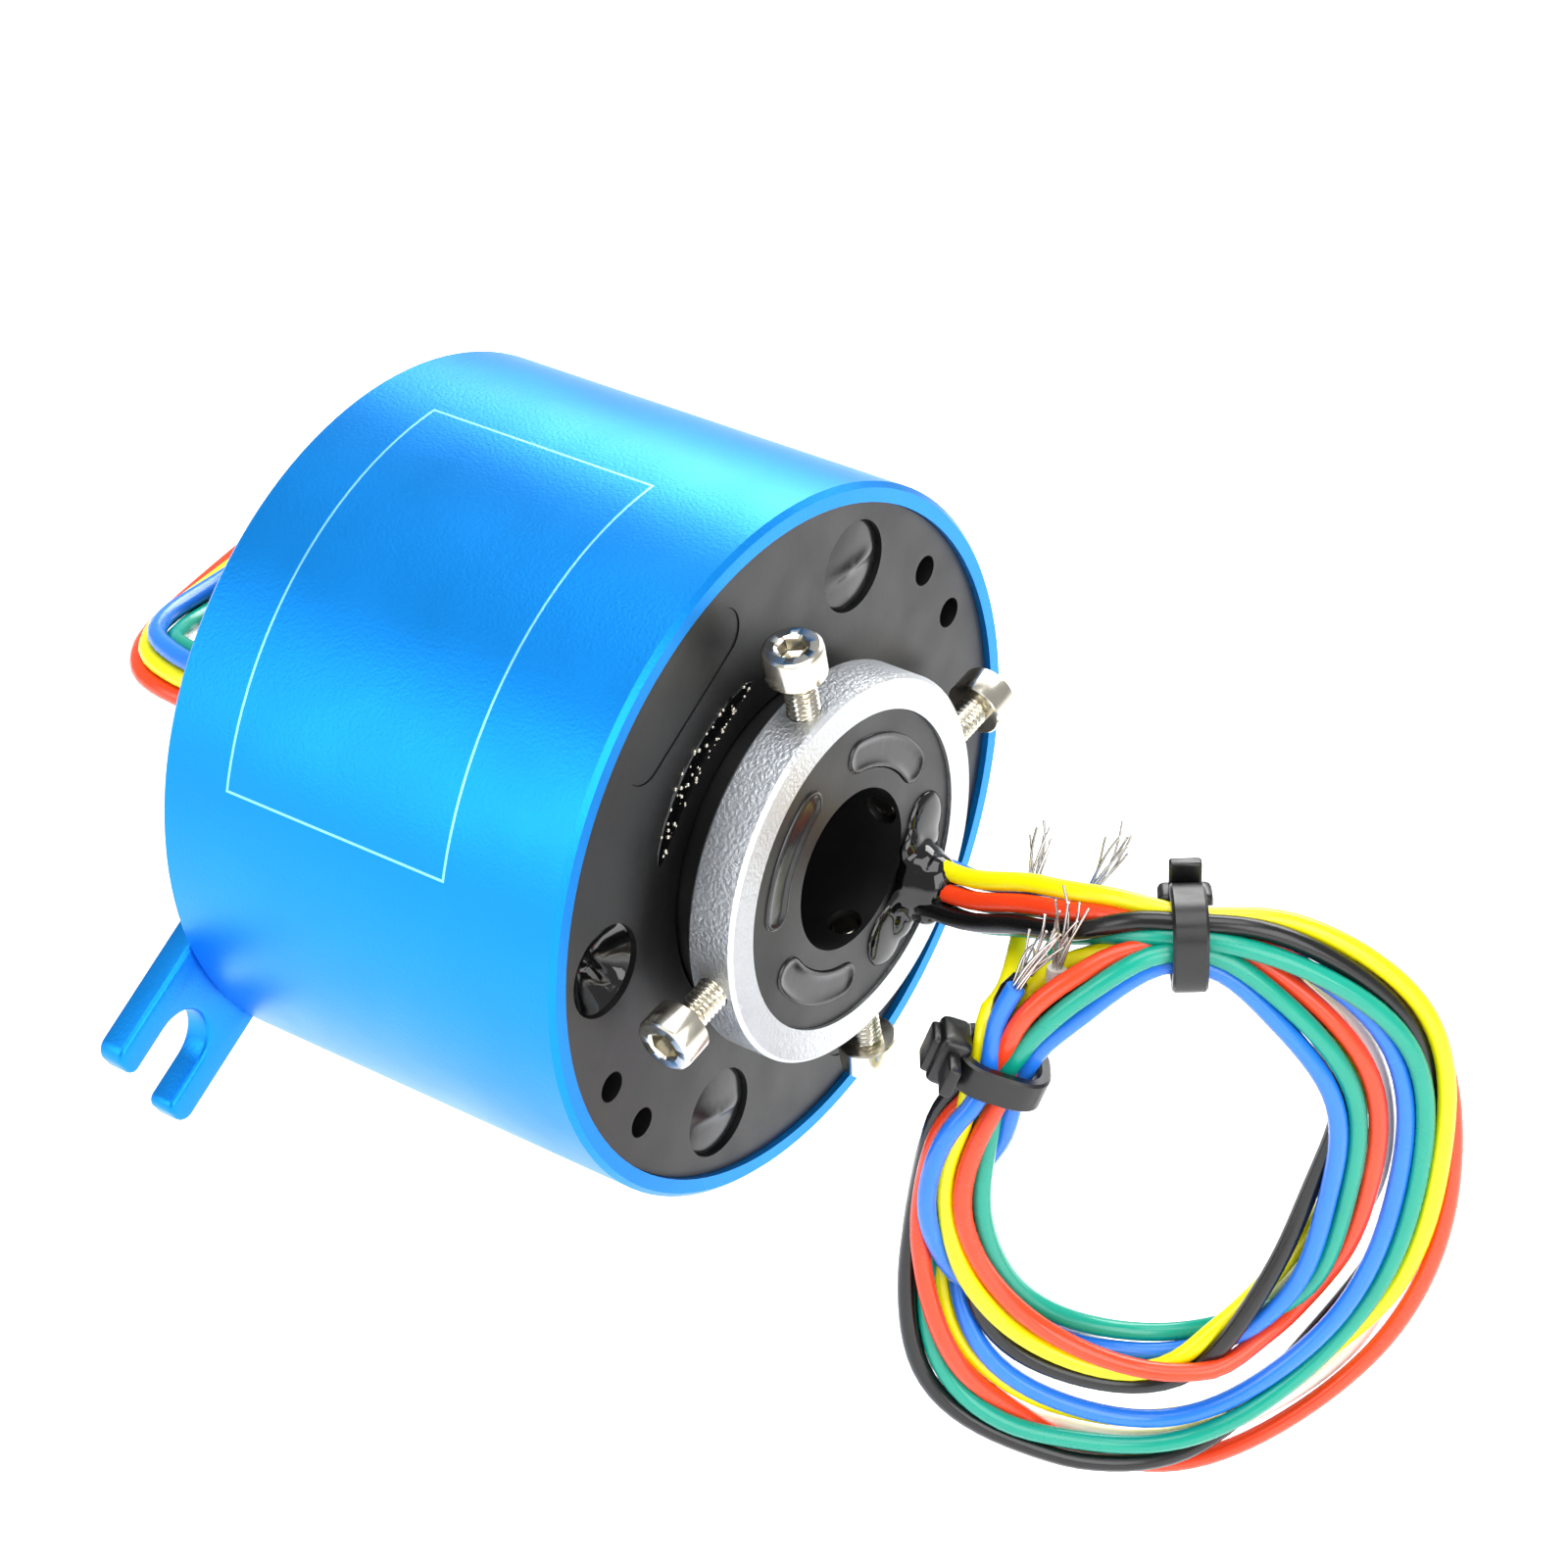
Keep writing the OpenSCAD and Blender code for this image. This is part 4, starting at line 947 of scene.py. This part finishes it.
# floor, light and view: glow lightens the floor for the camera and bounce for glossy reflections, and
# world is the backdrop's strength for everything else and for the camera
stageValues = {"below": 12, "half": 1600, "grey": 0.9, "rough": 0.9, "glow": 0.45, "bounce": 0.45,
               "world": (0.5, 1.0), "aim": (20, 0, -10)}
h = stageValues["half"]
floor = meshFrom("floor", [(-h, -h, 0), (h, -h, 0), (h, h, 0), (-h, h, 0)], [(0, 1, 2, 3)], smooth=False)
floor.location.z = cadBox[0][2] - stageValues["below"] * mm
floorMat = bpy.data.materials.new("paleFloor")
floorMat.use_nodes = True
tree = floorMat.node_tree
bsdf = tree.nodes["Principled BSDF"]
bsdf.inputs["Base Color"].default_value = (stageValues["grey"],) * 3 + (1,)
bsdf.inputs["Roughness"].default_value = stageValues["rough"]
bsdf.inputs["Specular IOR Level"].default_value = 0.0
bsdf.inputs["Emission Color"].default_value = (1, 1, 1, 1)
rays = addNode(tree, "ShaderNodeLightPath")
seen = addNode(tree, "ShaderNodeMath", {"operation": "MULTIPLY"}, {1: stageValues["glow"]},
               [(rays, "Is Camera Ray", 0)])
glow = addNode(tree, "ShaderNodeMath", {"operation": "MULTIPLY_ADD"}, {1: stageValues["bounce"]},
               [(rays, "Is Glossy Ray", 0), (seen, 0, 2)])
tree.links.new(glow.outputs[0], bsdf.inputs["Emission Strength"])
floor.data.materials.append(floorMat)

world = bpy.data.worlds.new("softBox")
bpy.context.scene.world = world
world.use_nodes = True
background = world.node_tree.nodes["Background"]
background.inputs["Color"].default_value = (1, 1, 1, 1)
rays = addNode(world.node_tree, "ShaderNodeLightPath")
level = addNode(world.node_tree, "ShaderNodeMapRange", None,
                {"To Min": stageValues["world"][0], "To Max": stageValues["world"][1]},
                [(rays, "Is Camera Ray", "Value")])
world.node_tree.links.new(level.outputs["Result"], background.inputs["Strength"])

# each light: where it stands, its width and height, and its power in watts
lightValues = {"topLight": ((60, -60, 420), (380, 380), 1.65),
               "backLight": ((-40, 330, 260), (420, 200), 2.2),
               "frontLight": ((330, -120, 120), (260, 260), 0.9),
               "leftLight": ((-160, -380, 160), (260, 320), 0.9)}


def softLight(name, at, size, power):
    data = bpy.data.lights.new(name, "AREA")
    data.shape = "RECTANGLE"
    data.size, data.size_y = size[0] * mm, size[1] * mm
    data.energy = power
    obj = link(bpy.data.objects.new(name, data))
    obj.location = Vector(at) * mm
    obj.rotation_euler = (Vector(stageValues["aim"]) - Vector(at)).to_track_quat("-Z", "Y").to_euler()


for name, (at, size, power) in lightValues.items():
    softLight(name, at, size, power)

scene = bpy.context.scene
scene.view_settings.view_transform = "Standard"
print("stage done")
